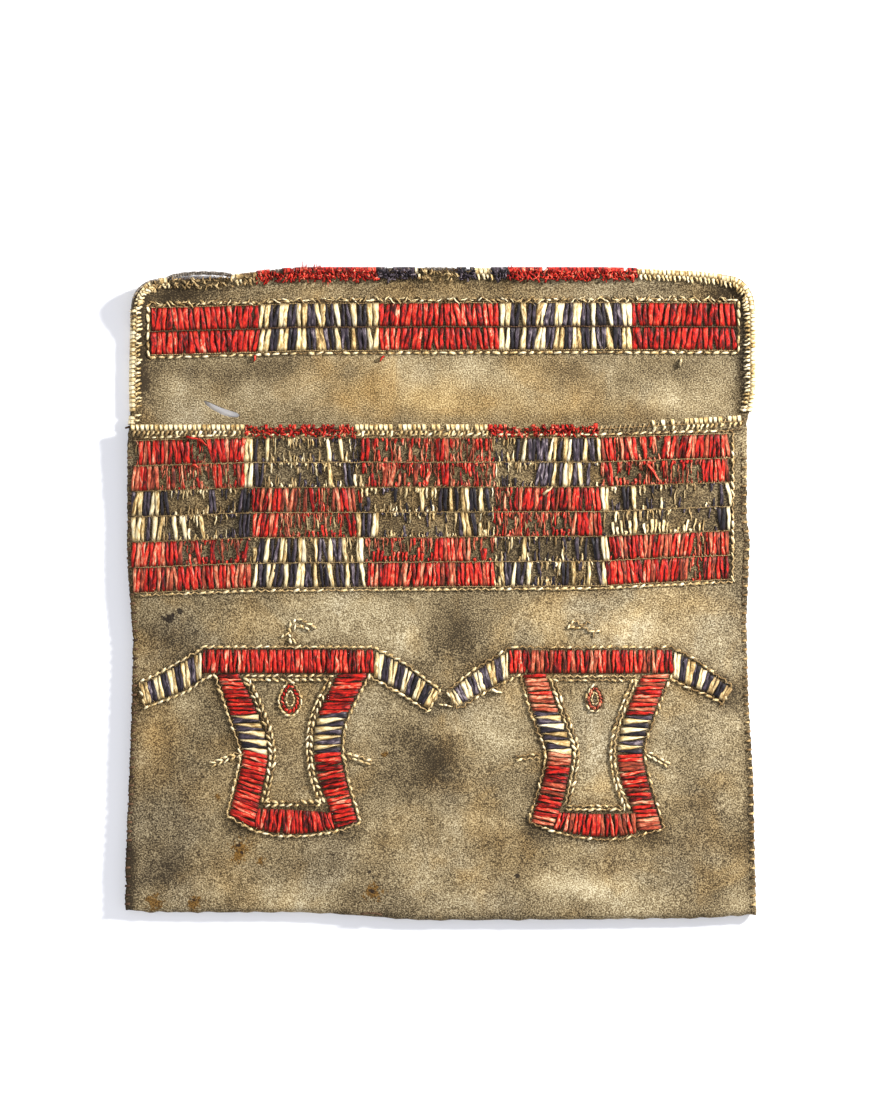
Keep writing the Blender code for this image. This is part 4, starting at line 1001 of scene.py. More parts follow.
def lay_stroke(palette, colour, kind, x, odd, band, lane, chance, width, tail):
    """One stroke of a lane. A head_high or head_low one has its wide end there, a whole one in turn."""
    lean = (0.42 * math.sin(x / LEAN_DRIFT) + chance.about(0.34) + (0.2 if odd else -0.2)) * MM
    high = Vector((x - lean, band.line_at(x, lane) - LANE_GAP - chance.uniform(0, 0.15) * MM))
    low = Vector((x + lean, band.line_at(x, lane + 1) + LANE_GAP + chance.uniform(0, 0.15) * MM))
    if kind == "sparse":
        kind = chance.choice(["whole", "upper", "lower", "none"])
        colour = "worn_red" if colour == "red" else colour
    if kind == "none":
        return
    if colour == "red" and band is CHEQUER and chance.random() < DULL_SHARE:
        colour = "worn_red"
    if kind == "upper":
        low = high.lerp(low, 0.14 + 0.5 * chance.random() ** 1.5)
    if kind == "lower":
        high = low.lerp(high, 0.14 + 0.5 * chance.random() ** 1.5)
    if kind in ("upper", "lower"):
        thin = QUILL_WIDTH * chance.uniform(0.45, 0.8)
        palette[colour].append(stroke(high, low, band.ground, chance, thin, QUILL_RISE * 0.7, STUB_TAIL))
        return
    width *= BLUE_NARROW if colour == "blue" else 1
    head_high = kind == "head_high" or (kind == "whole" and odd)
    ends = (high, low) if head_high else (low, high)
    palette[colour].append(stroke(*ends, band.ground, chance, width, tail=tail))


def striped_runs(start, end, blues, lane):
    """White runs with a blue run round each place in blues. Blue heads lie at the middle thread."""
    white_kind, blue_kind = ("head_high", "head_low") if lane == 0 else ("head_low", "head_high")
    runs = []
    for middle in blues:
        runs.append(("white", white_kind, start, middle - BLUE_WIDTH / 2))
        start = middle + BLUE_WIDTH / 2
        runs.append(("blue", blue_kind, middle - BLUE_WIDTH / 2, start))
    return runs + [("white", white_kind, start, end)]


def flap_runs(lane):
    a, b, c, d, e, f = FLAP_ENDS
    runs = [("red", "whole", a, b)] + striped_runs(b, c, FLAP_BLUES[0], lane) + [("red", "whole", c, d)]
    return runs + striped_runs(d, e, FLAP_BLUES[1], lane) + [("red", "whole", e, f)]


def make_flap_band():
    chance = Chance(71)
    palette = defaultdict(list)
    for lane in (0, 1):
        lay_lane(palette, flap_runs(lane), FLAP, lane, chance, FLAP_PITCH, FLAP_QUILL, FLAP_TAIL)
    for i, (points, shade) in enumerate(palette["red"]):
        if points[0, 0] > FLAP_ENDS[4] * MM:
            palette["red"][i] = points, shade * DEEP_SHADE
    blocks = {"red": (1, 3, 5), "white": (2, 4), "blue": ()}
    nodes = {colour: [f"flap_band_{i}" for i in numbers] for colour, numbers in blocks.items()}
    add_colours("flap_band_{}_quills", palette, nodes)


make_flap_band()

# %% [markdown]
# ## The chequer band
# Under the mouth lie six lanes, two to a row of blocks, and most of the wear of the pouch. Each
# lane is written out as the runs that survive: their colour, where they start and end, and whether
# the strokes are whole, only stubs at the upper or the lower thread, or sparse. Where no run is
# named the quills are gone, and only crumbs are left at the threads.

# %% Chequer lanes
# r, w and b are red, white and blue; ^ and _ are stubs at the upper and lower thread, ~ is sparse
LANES = [
    "r -96 -80, r -73.6 -62.1, w -62.4 -59.8, b -59.5 -57.6, w -56 -54.4, w -36.2 -35.2, b^ -34.6 -32.6,"
    "w -32 -31, r -25.6 -22.4, r^ -21.8 -4.8, r -1.6 2.6, r^ 8.6 15, b 23.7 25.3, w 25.9 27.2, b 27.8 34.2,"
    "w 34.6 37.1, b 37.1 39, w 39 41.6, b 41.9 45.4, w 45.4 46.7, b 46.7 49, w 49.3 51.2, r 51.2 55,"
    "r 57 62.4, r 64 65.6, r 70.4 91.8",
    "r -98.4 -89.6, r -85.8 -84.5, r_ -77.8 -75.8, r -72.6 -69.4, r -65 -62.1, w -62.7 -59.5, b -59.2 -56.3,"
    "w^ -43.5 -41.6, b_ -45.4 -42.2, w -35.5 -34.6, b -31 -28.2, w_ -27.8 -26.6, r^ -25.6 -23.7,"
    "r_ -22.4 -20.2, r~ -19.8 -12.2, r_ -12.2 -9, r -8.6 -7, r_ -7 -3.2, r 0 2.6, r^ 3.2 12.8,"
    "w^ 17.6 18.6, b_ 23 24.3, b 30.4 35.2, w 35.5 36.8, b 37.4 39, w 39 41.6, b 41.9 43.5, w 43.8 44.8,"
    "b 46.1 48, r 52.5 54.7, r_ 55 64, r^ 69.8 81.6, r 83.2 91.8",
    "b -98.4 -97.6, w -97.6 -95, b -94.7 -92.5, w -92.5 -89.6, b -89.3 -86.4, b -73.6 -71.4, b -64 -60.5,"
    "r -60.2 -45.4, r -43.8 -42.2, r -41.6 -40, r -34.6 -26.9, w^ -25.6 -20, b^ -19 -14, w^ -12 -1,"
    "b_ -26.2 -22.4, w -6.4 -5.4, b -0.6 2.2, w 2.6 3.8, b 4.2 5.8, w 6.4 9, b 9.3 11.5, w 12.2 13.4,"
    "b 14.1 16, r~ 20.2 23.4, r 23.4 50.6, w 51.2 53.4, b 57.6 60.2, w 60.8 62.1, b 88.3 90.2, w 90.9 92.6",
    "w -98.4 -94.1, b -93.8 -92.5, w -91.8 -88.6, w -85.4 -83.8, w~ -83.5 -76.8, w -76.5 -75.2,"
    "b -64.3 -60.5, r -59.8 -51.8, r~ -51.2 -46.1, r_ -41.3 -33, r -29.8 -26.9, w -26.6 -25.6,"
    "b -25.3 -22.1, w -21.8 -19.8, b 5.8 6.7, w 6.7 9.3, b 9.6 11.5, w~ 11.8 16, r~ 18.2 23.7,"
    "r_ 35.2 41.6, r 41.9 51.2, w_ 53.8 60.8, w 61.1 62.7, w_ 64 83.2, w^ 71.4 72.6, b 88.3 90.6,"
    "w 90.9 92.4",
    "r -98.4 -82.2, r_ -81.9 -60.8, r -77.8 -76.8, r -73 -72, r -65 -64, r -62.4 -61.4, w_ -59.8 -58.6,"
    "b -58.2 -56, w -55.7 -54.7, b -54.1 -51.5, w -51.2 -49, b -49 -45.8, w -45.4 -42.9, w -40.3 -39,"
    "b -39 -36.2, w -35.8 -34.2, b -34.2 -31.4, w -31 -30.1, w -26.6 -24.6, r^ -24.3 -21.8, r_ -21.8 1.6,"
    "r^ -10.2 -8, r -1.9 9.6, r_ 9.6 16, w 26.2 26.9, b^ 38.4 41, b 42.6 44.2, b 45.4 46.7, b 48 50.6,"
    "w 51.2 53.4, r 54.4 80, r 85.4 91.8",
    "r -98.2 -60.2, w -59.8 -58.2, b -57.9 -55.4, w -55.4 -53.1, b -53.1 -50.2, w -50.2 -48.3, b -48 -45.8,"
    "w -45.8 -43.5, b -43.2 -41, w -40.6 -39, b -38.7 -35.8, w -35.8 -33.9, b -33.6 -30.4, w -30.4 -28.8,"
    "b -28.5 -25.9, w -25.6 -23.7, r -23.7 17, w~ 17 19.2, w 19.2 20.2, b 20.2 22.4, w 22.6 23.8, b 24 26.9,"
    "w 27.3 28.6, b~ 28.8 32, w~ 32 38.4, b 38.4 41, w 41.6 42.9, b~ 43.5 46, w 46.4 47.6, b 49.6 51.2,"
    "w 51.2 52.5, r 52.5 78.7, r 83.5 91.8",
]
CHEQUER_PITCH = 1.3 * MM
SPLIT_SHARE = 0.5
CRUMB_CHANCE = 0.8
BARE_CHANCE = 0.4
COLOURS = {"r": "red", "w": "white", "b": "blue"}
KINDS = {"": "whole", "^": "upper", "_": "lower", "~": "sparse"}


def read_lane(text):
    """The runs of a lane, as (colour, kind, start, end)."""
    runs = []
    for item in text.split(","):
        mark, start, end = item.split()
        runs.append((COLOURS[mark[0]], KINDS[mark[1:]], float(start), float(end)))
    return runs


def lay_crumbs(palette, lane, runs, chance):
    """Small remains of quills at both threads wherever no run of strokes survives."""
    x = CHEQUER_COLUMNS[0] + 1
    while x < CHEQUER_COLUMNS[-1] - 1:
        x += chance.uniform(0.4, 0.9)
        kinds = [kind for _, kind, start, end in runs if start - 0.4 < x < end + 0.4]
        if "whole" in kinds:
            continue
        column = sum(x > c for c in CHEQUER_COLUMNS[1:-1])
        red = (lane // 2 + column) % 2 == 0
        bare = column == 4 and lane in (2, 3)
        colour = chance.choice(["red", "worn_red", "worn_red"] if red else ["white", "cream", "blue"])
        for kind, line, sign in (("upper", lane, -1), ("lower", lane + 1, 1)):
            if kind not in kinds and chance.random() < (BARE_CHANCE if bare else CRUMB_CHANCE):
                place = Vector((x * MM, chequer_line(x * MM, line) + sign * LANE_GAP))
                reach = sign * (0.7 + (5.2 if red else 3.4) * chance.random() ** 1.7) * MM
                tip = place + Vector((chance.about(0.45) * MM, reach))
                shape = QUILL_WIDTH * chance.uniform(0.24, 0.58), QUILL_RISE * 0.5, STUB_TAIL
                palette[colour].append(stroke(place, tip, front_face, chance, *shape))
        if chance.random() < (SPLIT_SHARE if red else SPLIT_SHARE / 4):
            start = Vector((x * MM, chequer_line(x * MM, lane) - chance.uniform(0, 2) * MM))
            tip = start + Vector((chance.about(0.7), -chance.uniform(2.0, 5.2))) * MM
            width = chance.uniform(0.3, 0.8) * MM
            faded = "cream" if chance.random() < 0.3 else colour
            palette[faded].append(stroke(start, tip, front_face, chance, width, QUILL_RISE * 0.3, STUB_TAIL))


def make_chequer():
    chance = Chance(72)
    palette = defaultdict(list)
    for lane, text in enumerate(LANES):
        runs = read_lane(text)
        lay_lane(palette, runs, CHEQUER, lane, chance, CHEQUER_PITCH)
        lay_crumbs(palette, lane, runs, chance)
    nodes = {"red": [], "white": [], "blue": [], "cream": [], "worn_red": []}
    for row in (1, 2, 3):
        for block in (1, 2, 3, 4, 5):
            nodes["white" if (row + block) % 2 else "red"].append(f"chequer_row{row}_block{block}")
    add_colours("chequer_{}_quills", palette, nodes)


make_chequer()

# %% [markdown]
# ## The figures
# Each part of a figure is filled with strokes from one of its two curves to the other. The wings
# have nine stripes, and one wing is stained tan. The sides are red but for the waist, where white
# heads point inwards and blue heads outwards.

# %% The figures' quills
WING_STRIPES = 9
WING_STROKES = 18
WAIST_TAIL = 0.16
WAIST_WIDTH = 2.5 * MM
TAN_FROM = 0.55
FIGURE_DULL = {"left": 0.0, "right": 0.4}
# Where each side's waist starts and ends, in mm below the bar's upper edge
WAISTS = {
    "left": {"side_left": (-33.4, -20.2), "side_right": (-33.2, -20.4)},
    "right": {"side_left": (-32.2, -20.2), "side_right": (-33.0, -20.8)},
}


def figure_colour(side, part, share, down, odd):
    """The colour of a stroke, from its share of the way along its lane and its height."""
    if part.startswith("wing"):
        stained = (side, part) == ("right", "wing_right") and share > TAN_FROM
        return "blue" if int(share * WING_STRIPES) % 2 else "cream" if stained else "white"
    if part.startswith("side"):
        low, top = WAISTS[side][part]
        if low < down < top:
            return "white" if odd == (part == "side_right") else "blue"
    return "red"


def fill_part(palette, side, part, curves, chance):
    """Strokes from one curve of a lane to the other, side by side along it."""
    one, two = (Line(curve) for curve in curves)
    wing = part.startswith("wing")
    count = WING_STROKES if wing else round((one.length + two.length) / 2 / STROKE_PITCH)
    for i in range(count):
        share = (i + 0.5) / count
        lean = (chance.about(0.16) + (0.1 if i % 2 else -0.1)) / count
        a, b = one.at(one.length * (share + lean)), two.at(two.length * (share - lean))
        inset = (b - a).normalized() * LANE_GAP
        ends = (a + inset, b - inset) if i % 2 else (b - inset, a + inset)
        down = (((a + b) / 2).y - FIGURE_MIDDLES[side].y) / MM
        colour = figure_colour(side, part, share, down, bool(i % 2))
        in_waist = colour != "red" and not wing
        tail = WAIST_TAIL if in_waist else chance.uniform(0.4, 0.75)
        if colour == "red" and chance.random() < FIGURE_DULL[side]:
            colour = "worn_red"
        width = WAIST_WIDTH if in_waist else QUILL_WIDTH
        palette[colour].append(stroke(*ends, front_face, chance, width, tail=tail))


def make_figure(side):
    chance = Chance(f"figure {side}")
    palette = defaultdict(list)
    for part, curves in figure_curves(side).items():
        fill_part(palette, side, part, curves, chance)
    parts = {"red": ("bar", "tail", "side_left", "side_right"), "white": ("wing_left", "wing_right")}
    nodes = {colour: [f"{side}_figure_{part}" for part in parts.get(colour, ())] for colour in palette}
    add_colours(side + "_figure_{}_quills", palette, nodes)


for side in FIGURES:
    make_figure(side)

# %% [markdown]
# ## Beaded lines
# The outlines look like rows of tiny beads. Each is a thread laid on the hide with a quill wound
# round it, caught down at every turn, so what shows is a row of slanting white turns with tan
# thread between them. A turn is another copy of the tube, short and fat, set aslant on the line.

# %% A beaded line
TURN_PITCH = 2.5 * MM
TURN_LENGTH = 2.35 * MM
TURN_WIDTH = 1.0 * MM
TURN_RISE = 0.7 * MM
THREAD_RADIUS = 0.24 * MM


def quill_turn(middle, heading, slant, ground, chance, length, width):
    """One slanting turn of a quill round its thread."""
    across, along, high = QUILL_POINTS
    reach = (along - 0.5) * length * chance.uniform(0.68, 1.12)
    swell = swelling(along, 0.03, 0.97)
    angle = slant + chance.about(0.26)
    cos, sin = math.cos(angle), math.sin(angle)
    ahead = Vector((heading.x * cos - heading.y * sin, heading.x * sin + heading.y * cos))
    side = left_of(ahead)
    offset = across * width / 2 * (0.4 + 0.6 * swell**0.6) * chance.uniform(0.62, 1.15)
    x = middle.x + ahead.x * reach + side.x * offset
    y = middle.y + ahead.y * reach + side.y * offset
    rise = (0.2 * MM + (TURN_RISE - 0.1 * MM) * swell**0.7) * chance.uniform(0.85, 1.15)
    z = ground(x, y) + np.where(high > 0.1, np.where(np.abs(across) < 0.5, 1.0, 0.6) * rise, SUNK)
    return np.stack([x, y, z], axis=1), chance.uniform(0.05, 1.0)


def lay_strand(points, radius, ground, chance, lift=0.1 * MM):
    """Short strands end to end along plan points."""
    across, along, high = STRAND_POINTS
    stretch = -0.08 + 1.16 * along
    copies = []
    shade = chance.random()
    for a, b in zip(points, points[1:]):
        run = b - a
        if run.length < 1e-7:
            continue
        side = left_of(run).normalized()
        x = a.x + run.x * stretch + side.x * across * radius
        y = a.y + run.y * stretch + side.y * across * radius
        z = ground(x, y) + lift + radius * (1 + high)
        copies.append((np.stack([x, y, z], axis=1), min(max(shade + chance.about(0.25), 0), 1)))
    return copies


def bead_line(line, ground, chance, slant=0.3, missing=0.06, offset=0.0, pitch=TURN_PITCH, size=1.0):
    """The turns and the thread of a beaded line, with some turns lost."""
    turns, points = [], []
    shape = TURN_LENGTH * size, TURN_WIDTH * size
    count = max(1, round(line.length / pitch))
    for i, distance in enumerate(line.spaced(count)):
        heading = line.heading(distance)
        middle = line.at(distance) + left_of(heading) * (offset + chance.about(0.08) * MM)
        aside = left_of(heading) * chance.uniform(0.15, 0.42) * MM
        points += [middle + aside, line.at(line.length * (i + 1) / count) + left_of(heading) * offset - aside]
        if chance.random() > missing:
            turns.append(quill_turn(middle, heading, slant, ground, chance, *shape))
    return turns, lay_strand(points, THREAD_RADIUS, ground, chance)


# %% Outlines of the two bands
OUTLINE_ROOM = 0.85 * MM
PALE_SHARE = 0.3
REMAINS_PITCH = 1.25 * MM
CHEQUER_INSET = 1.6 * MM


def line_beside(line_at, line, left, right, off, count=24):
    """Points along a line of a band, moved up by off."""
    return [Vector((x, line_at(x, line) + off)) for x in np.linspace(left, right, count)]


def crossing_remains(line, ground, chance):
    """Slender pieces of quill that cross each other along a worn line."""
    copies = []
    for i in range(int(line.length / REMAINS_PITCH)):
        distance = REMAINS_PITCH * (i + chance.random())
        heading = line.heading(distance)
        middle = line.at(distance) + left_of(heading) * chance.uniform(-0.4, 0.7) * MM
        angle = math.atan2(heading.y, heading.x) + chance.choice([-1, 1]) * chance.uniform(0.1, 1.0)
        reach = Vector((math.cos(angle), math.sin(angle))) * chance.uniform(0.7, 1.6) * MM
        copies.append(stroke(middle - reach, middle + reach, ground, chance, 0.7 * MM, 0.8 * MM, 0.5))
    return copies


def make_flap_outline(chance):
    left, right = FLAP.left - OUTLINE_ROOM, FLAP.right + OUTLINE_ROOM
    above = line_beside(flap_line, 0, left, right, OUTLINE_ROOM)
    below = line_beside(flap_line, 2, right, left, -OUTLINE_ROOM)
    pale, threads = bead_line(Line(above), flap_face, chance, 0.12, 1 - PALE_SHARE, pitch=2.7 * MM)
    remains = crossing_remains(Line(above), flap_face, chance)
    rest = Line(above[-1:] + below + above[:1])
    turns, extra = bead_line(rest, flap_face, chance, 0.1, 0.08, pitch=2.8 * MM, size=1.12)
    add_piece("flap_band_outline_turns", QUILL, turns + pale + remains[::2], "white", "flap_band_outline")
    add_piece("flap_band_upper_turns", QUILL, remains[1::2], "cream")
    add_piece("flap_band_outline_thread", STRAND, threads + extra, "thread")


def make_chequer_outline(chance):
    left, right = CHEQUER.left + CHEQUER_INSET, CHEQUER.right + OUTLINE_ROOM
    around = line_beside(chequer_line, 6, left, right, -OUTLINE_ROOM)
    around += [Vector((right, chequer_line(right, n))) for n in (4, 2, 0)]
    above = line_beside(chequer_line, 0, left + 2 * MM, right, OUTLINE_ROOM)
    turns, threads = bead_line(Line(around), front_face, chance, missing=0.3)
    more, extra = bead_line(Line(above), front_face, chance, missing=0.14)
    add_piece("chequer_outline_turns", QUILL, turns + more, "white", "chequer_outline")
    add_piece("chequer_outline_thread", STRAND, threads + extra, "thread")


outline_chance = Chance(81)
make_flap_outline(outline_chance)
make_chequer_outline(outline_chance)

# %% [markdown]
# The figures' outlines run round every part. The line leaves the bar for the head, a small hooked
# loop on a neck, and leaves each side for a feather, which is two turns wide. Inside the hourglass
# runs a double line whose two rows slant against each other like a braid.

# %% The figures' outlines
HEADS = {
    "left": [
        [(0.9, 1.9), (0.4, 5.2), (0.6, 7.5), (1.9, 9.1), (3.5, 9.6), (5.8, 8.6), (7.8, 7.5), (8.4, 6.4)],
        [(1.6, 6.2), (2.8, 7.5), (4.8, 7.2), (6.8, 6.2)],
        [(-2.4, 3.9), (0.2, 5.1)],
        [(2.1, 1.6), (1.6, 3.9)],
    ],
    "right": [
        [(-7.5, 6.6), (-6.4, 8.2), (-4.9, 9.2), (-2.3, 7.3), (0.0, 6.0), (3.0, 6.0)],
        [(-6.8, 7.3), (-3.6, 7.0), (-1.4, 8.6), (-0.3, 8.9)],
        [(0.0, 6.0), (1.3, 4.3)],
    ],
}
FEATHERS = {
    "left": [[(-14.8, -32.9), (-24.9, -36.9)], [(18.2, -33.5), (26.4, -35.9)]],
    "right": [[(-15.2, -33.6), (-23.8, -34.5)], [(18.0, -32.9), (25.1, -36.8)]],
}
JOIN = [(-0.6, -35.0), (3.6, -35.8)]
# The way round a figure, as (part, which of its curves, 1 as drawn or -1 backwards)
ROUTE = [("wing_left", 0, -1), ("bar", 0, 1), ("wing_right", 0, 1), ("wing_right", 1, -1)]
ROUTE += [("side_right", 1, 1), ("tail", 1, -1), ("side_left", 0, -1), ("wing_left", 1, 1)]
OUTLINE_WEAR = {"left": 0.13, "right": 0.42}
FEATHER_SPREAD = 0.62 * MM
INNER_SPREAD = 0.62 * MM
INNER_ROOM = 1.55 * MM
CORNER_SHIFT = 0.6 * MM


def offset_line(points, distance):
    """A line moved to its left side."""
    moved = []
    for i, here in enumerate(points):
        ahead = (points[min(i + 1, len(points) - 1)] - points[max(i - 1, 0)]).normalized()
        moved.append(here + left_of(ahead) * distance)
    return moved


def figure_outline(curves):
    """Round a figure clockwise, without points that crowd at its corners."""
    kept = []
    for part, number, way in ROUTE:
        for point in offset_line(curves[part][number][::way], OUTLINE_ROOM):
            if not kept or (point - kept[-1]).length > 0.7 * MM:
                kept.append(point)
    return kept


def inner_outline(curves):
    """Round the open field between the bar, the sides and the tail."""
    top = curves["bar"][1][0].y - INNER_ROOM
    low = max(p.y for p in curves["tail"][0]) + INNER_ROOM
    halves = []
    for curve, sign in ((curves["side_left"][1], 1), (curves["side_right"][0], -1)):
        kept = [p for p in offset_line(curve, sign * INNER_ROOM) if low < p.y < top]
        corner = Vector((kept[0].x - sign * CORNER_SHIFT, top))
        halves.append([corner] + kept + [Vector((kept[-1].x, low))])
    return halves[0][::-1] + halves[1]


def bead_rows(rows, chance):
    """Beaded lines on the front, laid in turn, each row being a line and its settings."""
    turns, threads = [], []
    for line, *settings in rows:
        more, extra = bead_line(line, front_face, chance, *settings)
        turns += more
        threads += extra
    return turns, threads


def make_figure_outline(side):
    chance = Chance(f"outline {side}")
    middle = FIGURE_MIDDLES[side]
    curves = figure_curves(side)
    wear = OUTLINE_WEAR[side]
    inner = Line(inner_outline(curves), closed=True)
    inner_rows = [(inner, 0.32 * sign, wear, sign * INNER_SPREAD, 2.3 * MM) for sign in (-1, 1)]
    rows = []
    for stem in FEATHERS[side]:
        line = Line(placed(stem, middle))
        rows += [(line, 0.3 * sign, wear * 1.4, sign * FEATHER_SPREAD, 2.1 * MM) for sign in (-1, 1)]
    if side == "left":
        rows.append((Line(placed(JOIN, Vector((0, 0)))), 0.2, 0, 0, 1.6 * MM, 0.8))
    rows += [(Line(curve_through(placed(stem, middle))), 0.25, wear, 0, 1.8 * MM) for stem in HEADS[side]]
    turns, threads = bead_rows([(Line(figure_outline(curves), closed=True), 0.3, wear)], chance)
    inner_turns, inner_threads = bead_rows(inner_rows, chance)
    more, extra = bead_rows(rows, chance)
    add_piece(f"{side}_figure_outline_turns", QUILL, turns + more, "white", f"{side}_figure_outline")
    add_piece(f"{side}_figure_inner_turns", QUILL, inner_turns, "white", f"{side}_figure_inner_line")
    add_piece(f"{side}_figure_thread", STRAND, threads + extra + inner_threads, "thread")


for side in FIGURES:
    make_figure_outline(side)

# %% [markdown]
# Under each bar hangs a small drop: a red ring between a white one outside and a few white turns
# inside.

# %% The drops
DROPS = {"left": Vector((0.6, -15.6)), "right": Vector((1.3, -15.4))}
DROP_REACH = {"left": 3.7 * MM, "right": 2.9 * MM}
DROP_RED = {"left": "red", "right": "worn_red"}
RED_TURNS = 15
RED_SLANT = 0.5
RED_SHAPE = (1.9 * MM, 1.0 * MM)


def drop_line(middle, wide, tall):
    """A drop, rounded below and drawn to a point above."""
    points = []
    for i in range(24):
        angle = 2 * math.pi * i / 24
        narrow = 1 - 0.42 * max(math.cos(angle), 0)
        points.append(middle + Vector((wide * math.sin(angle) * narrow, tall * math.cos(angle))))
    return Line(points, closed=True)


def make_drop(side):
    chance = Chance(f"drop {side}")
    middle = FIGURE_MIDDLES[side] + DROPS[side] * MM
    reach = DROP_REACH[side]
    outer = drop_line(middle, reach, reach * 1.48)
    inner = drop_line(middle, reach * 0.36, reach * 0.68)
    rows = [(outer, 0.2, OUTLINE_WEAR[side] * 1.3, 0, 1.8 * MM, 0.85), (inner, 0.2, 0.1, 0, 1.25 * MM, 0.6)]
    white, threads = bead_rows(rows, chance)
    ring = drop_line(middle, reach * 0.68, reach * 1.1)
    places = [(ring.at(d), ring.heading(d)) for d in ring.spaced(RED_TURNS)]
    red = [quill_turn(*place, RED_SLANT, front_face, chance, *RED_SHAPE) for place in places]
    add_piece(f"{side}_figure_drop_red", QUILL, red, DROP_RED[side], f"{side}_figure_pendant")
    add_piece(f"{side}_figure_drop_white", QUILL, white, "white")
    add_piece(f"{side}_figure_drop_thread", STRAND, threads, "thread")


for side in FIGURES:
    make_drop(side)

# %% [markdown]
# ## Stitching threads
# Folded quills are caught at every turn by a thread that runs along both sides of the lane. On
# the flap it sits deep between the lanes, and its dark colour there is painted shade for that
# groove. On the chequer band it is tan, and where the quills are gone it is all that is left, with
# small stitches across it.

# %% Threads along the lanes
THREAD_STEP = 0.8 * MM
FLAP_THREAD = 0.16 * MM
CHEQUER_THREAD = 0.09 * MM
CROSS_STITCH = 0.1 * MM
MIDDLE_LIFT = 0.45 * MM
SIDE_LIFT = 0.1 * MM
CHEQUER_LIFT = 0.34 * MM
CROSS_LIFT = 0.38 * MM


def lane_thread(band, line, left, chance, radius, lift):
    count = int((band.right - left) / THREAD_STEP)
    points = []
    for i in range(count + 1):
        x = left + (band.right - left) * i / count
        points.append(Vector((x, band.line_at(x, line) + chance.about(0.12) * MM)))
    return lay_strand(points, radius, band.ground, chance, lift)


def cross_stitches(band, line, left, chance):
    """Short stitches over the thread, one at each fold of the quills that were there."""
    copies = []
    x = left
    while x < band.right:
        x += chance.uniform(1.0, 3.4) * MM
        y = band.line_at(x, line)
        reach = chance.uniform(0.2, 0.5) * MM
        lean = chance.about(0.3) * MM
        ends = [Vector((x - lean, y + reach)), Vector((x + lean, y - reach))]
        copies += lay_strand(ends, CROSS_STITCH, band.ground, chance, CROSS_LIFT)
    return copies


def make_lane_threads():
    chance = Chance(91)
    # The middle thread is given the dark finish as painted shade for the groove between the lanes
    dark = lane_thread(FLAP, 1, FLAP.left, chance, FLAP_THREAD, MIDDLE_LIFT)
    add_piece("flap_band_middle_thread", STRAND, dark, "dark_thread")
    tan = []
    for line in (0, 2):
        tan += lane_thread(FLAP, line, FLAP.left, chance, FLAP_THREAD, SIDE_LIFT)
    left = CHEQUER.left + 1 * MM
    for line in range(7):
        tan += lane_thread(CHEQUER, line, left, chance, CHEQUER_THREAD, CHEQUER_LIFT)
        tan += cross_stitches(CHEQUER, line, left, chance)
    add_piece("lane_threads", STRAND, tan, "thread")


make_lane_threads()

# %% [markdown]
# ## Wrapped rims
# Quills are wound over the rim of the flap and over the rim of the mouth, turn by turn. Each turn
# shows as a fat bump on the rim with a short tail below it. A turn is a copy of the tube that is
# bent into a U over the edge, from the upper face round to the underside.

# %% The rims
WRAP_PITCH = 1.36 * MM
WRAP_WIDTH = 1.7 * MM
WRAP_REACH = 1.25 * MM
WRAP_BULGE = 0.6 * MM
MOUTH_PITCH = 1.52 * MM
MOUTH_ENDS = (-98.9 * MM, 97.2 * MM)
CREAM_SHARE = 0.5
RUFFLE_STAND = 0.3 * MM
CORNER_FROM = 90 * MM
CORNER_DEPTH = 12 * MM
CORNER_INSET = 0.35 * MM
WRAP_INSET = 1.2
STUB_INSET = 0.9
STUB_SHAPE = (1.2 * MM, 0.7 * MM, 0.5)
SIDE_PLACES = {"left": -150, "right": 150}
# The foot of each side is worn: it ends at this y in mm and has lost this share of its turns
WORN_FEET = {"left": (57, 0.35), "right": (58.5, 0.75)}
# Each stretch is its colour, where it starts and ends in mm, and the share of turns that are lost.
# A stretch that reaches past 100 goes down that side
FLAP_STRETCHES = [
    ("white", -200.0, -92.8, 0.02), ("cream", -92.8, -90.4, 0.5), ("white", -90.4, -87.0, 0.0),
    ("cream", -87.0, -66.6, 1.0), ("white", -66.6, -64.0, 0.0), ("cream", -64.0, -59.0, 0.2),
    ("red", -59.0, -54.4, 0.0), ("red", -54.4, -48.0, 0.45), ("red", -48.0, -38.0, 0.2),
    ("red", -38.0, -21.0, 0.0), ("blue", -20.8, -18.2, 0.0), ("blue", -18.2, -12.8, 0.6),
    ("blue", -12.8, -8.4, 0.0), ("white", -8.4, -7.0, 0.0), ("cream", -7.0, 4.8, 0.9),
    ("blue", 4.8, 11.2, 0.05), ("white", 11.2, 16.0, 0.0), ("blue", 16.0, 21.1, 0.1),
    ("red", 21.1, 62.7, 0.1), ("white", 62.7, 200.0, 0.02),
]
MOUTH_STRETCHES = [
    ("white", -99.4, -62.4, 0.03), ("red", -62.4, -27.2, 0.5), ("white", -26.8, 15.0, 0.04),
    ("red", 15.0, 43.2, 0.55), ("red", 43.2, 49.5, 0.8), ("white", 67.5, 81.0, 0.5),
    ("white", 81.0, 97.0, 0.02),
]


def rounded(side_end, top_end):
    """The points of a rounded corner from the end of a side to the end of the top."""
    away = side_end - top_end
    turns = [i / 8 * math.pi / 2 for i in range(1, 8)]
    return [Vector((top_end.x + away.x * math.cos(t), side_end.y - away.y * math.sin(t))) for t in turns]


def side_points(edge, start, end):
    return [Vector((float(edge(y)), y)) for y in np.linspace(start, end, 24)]


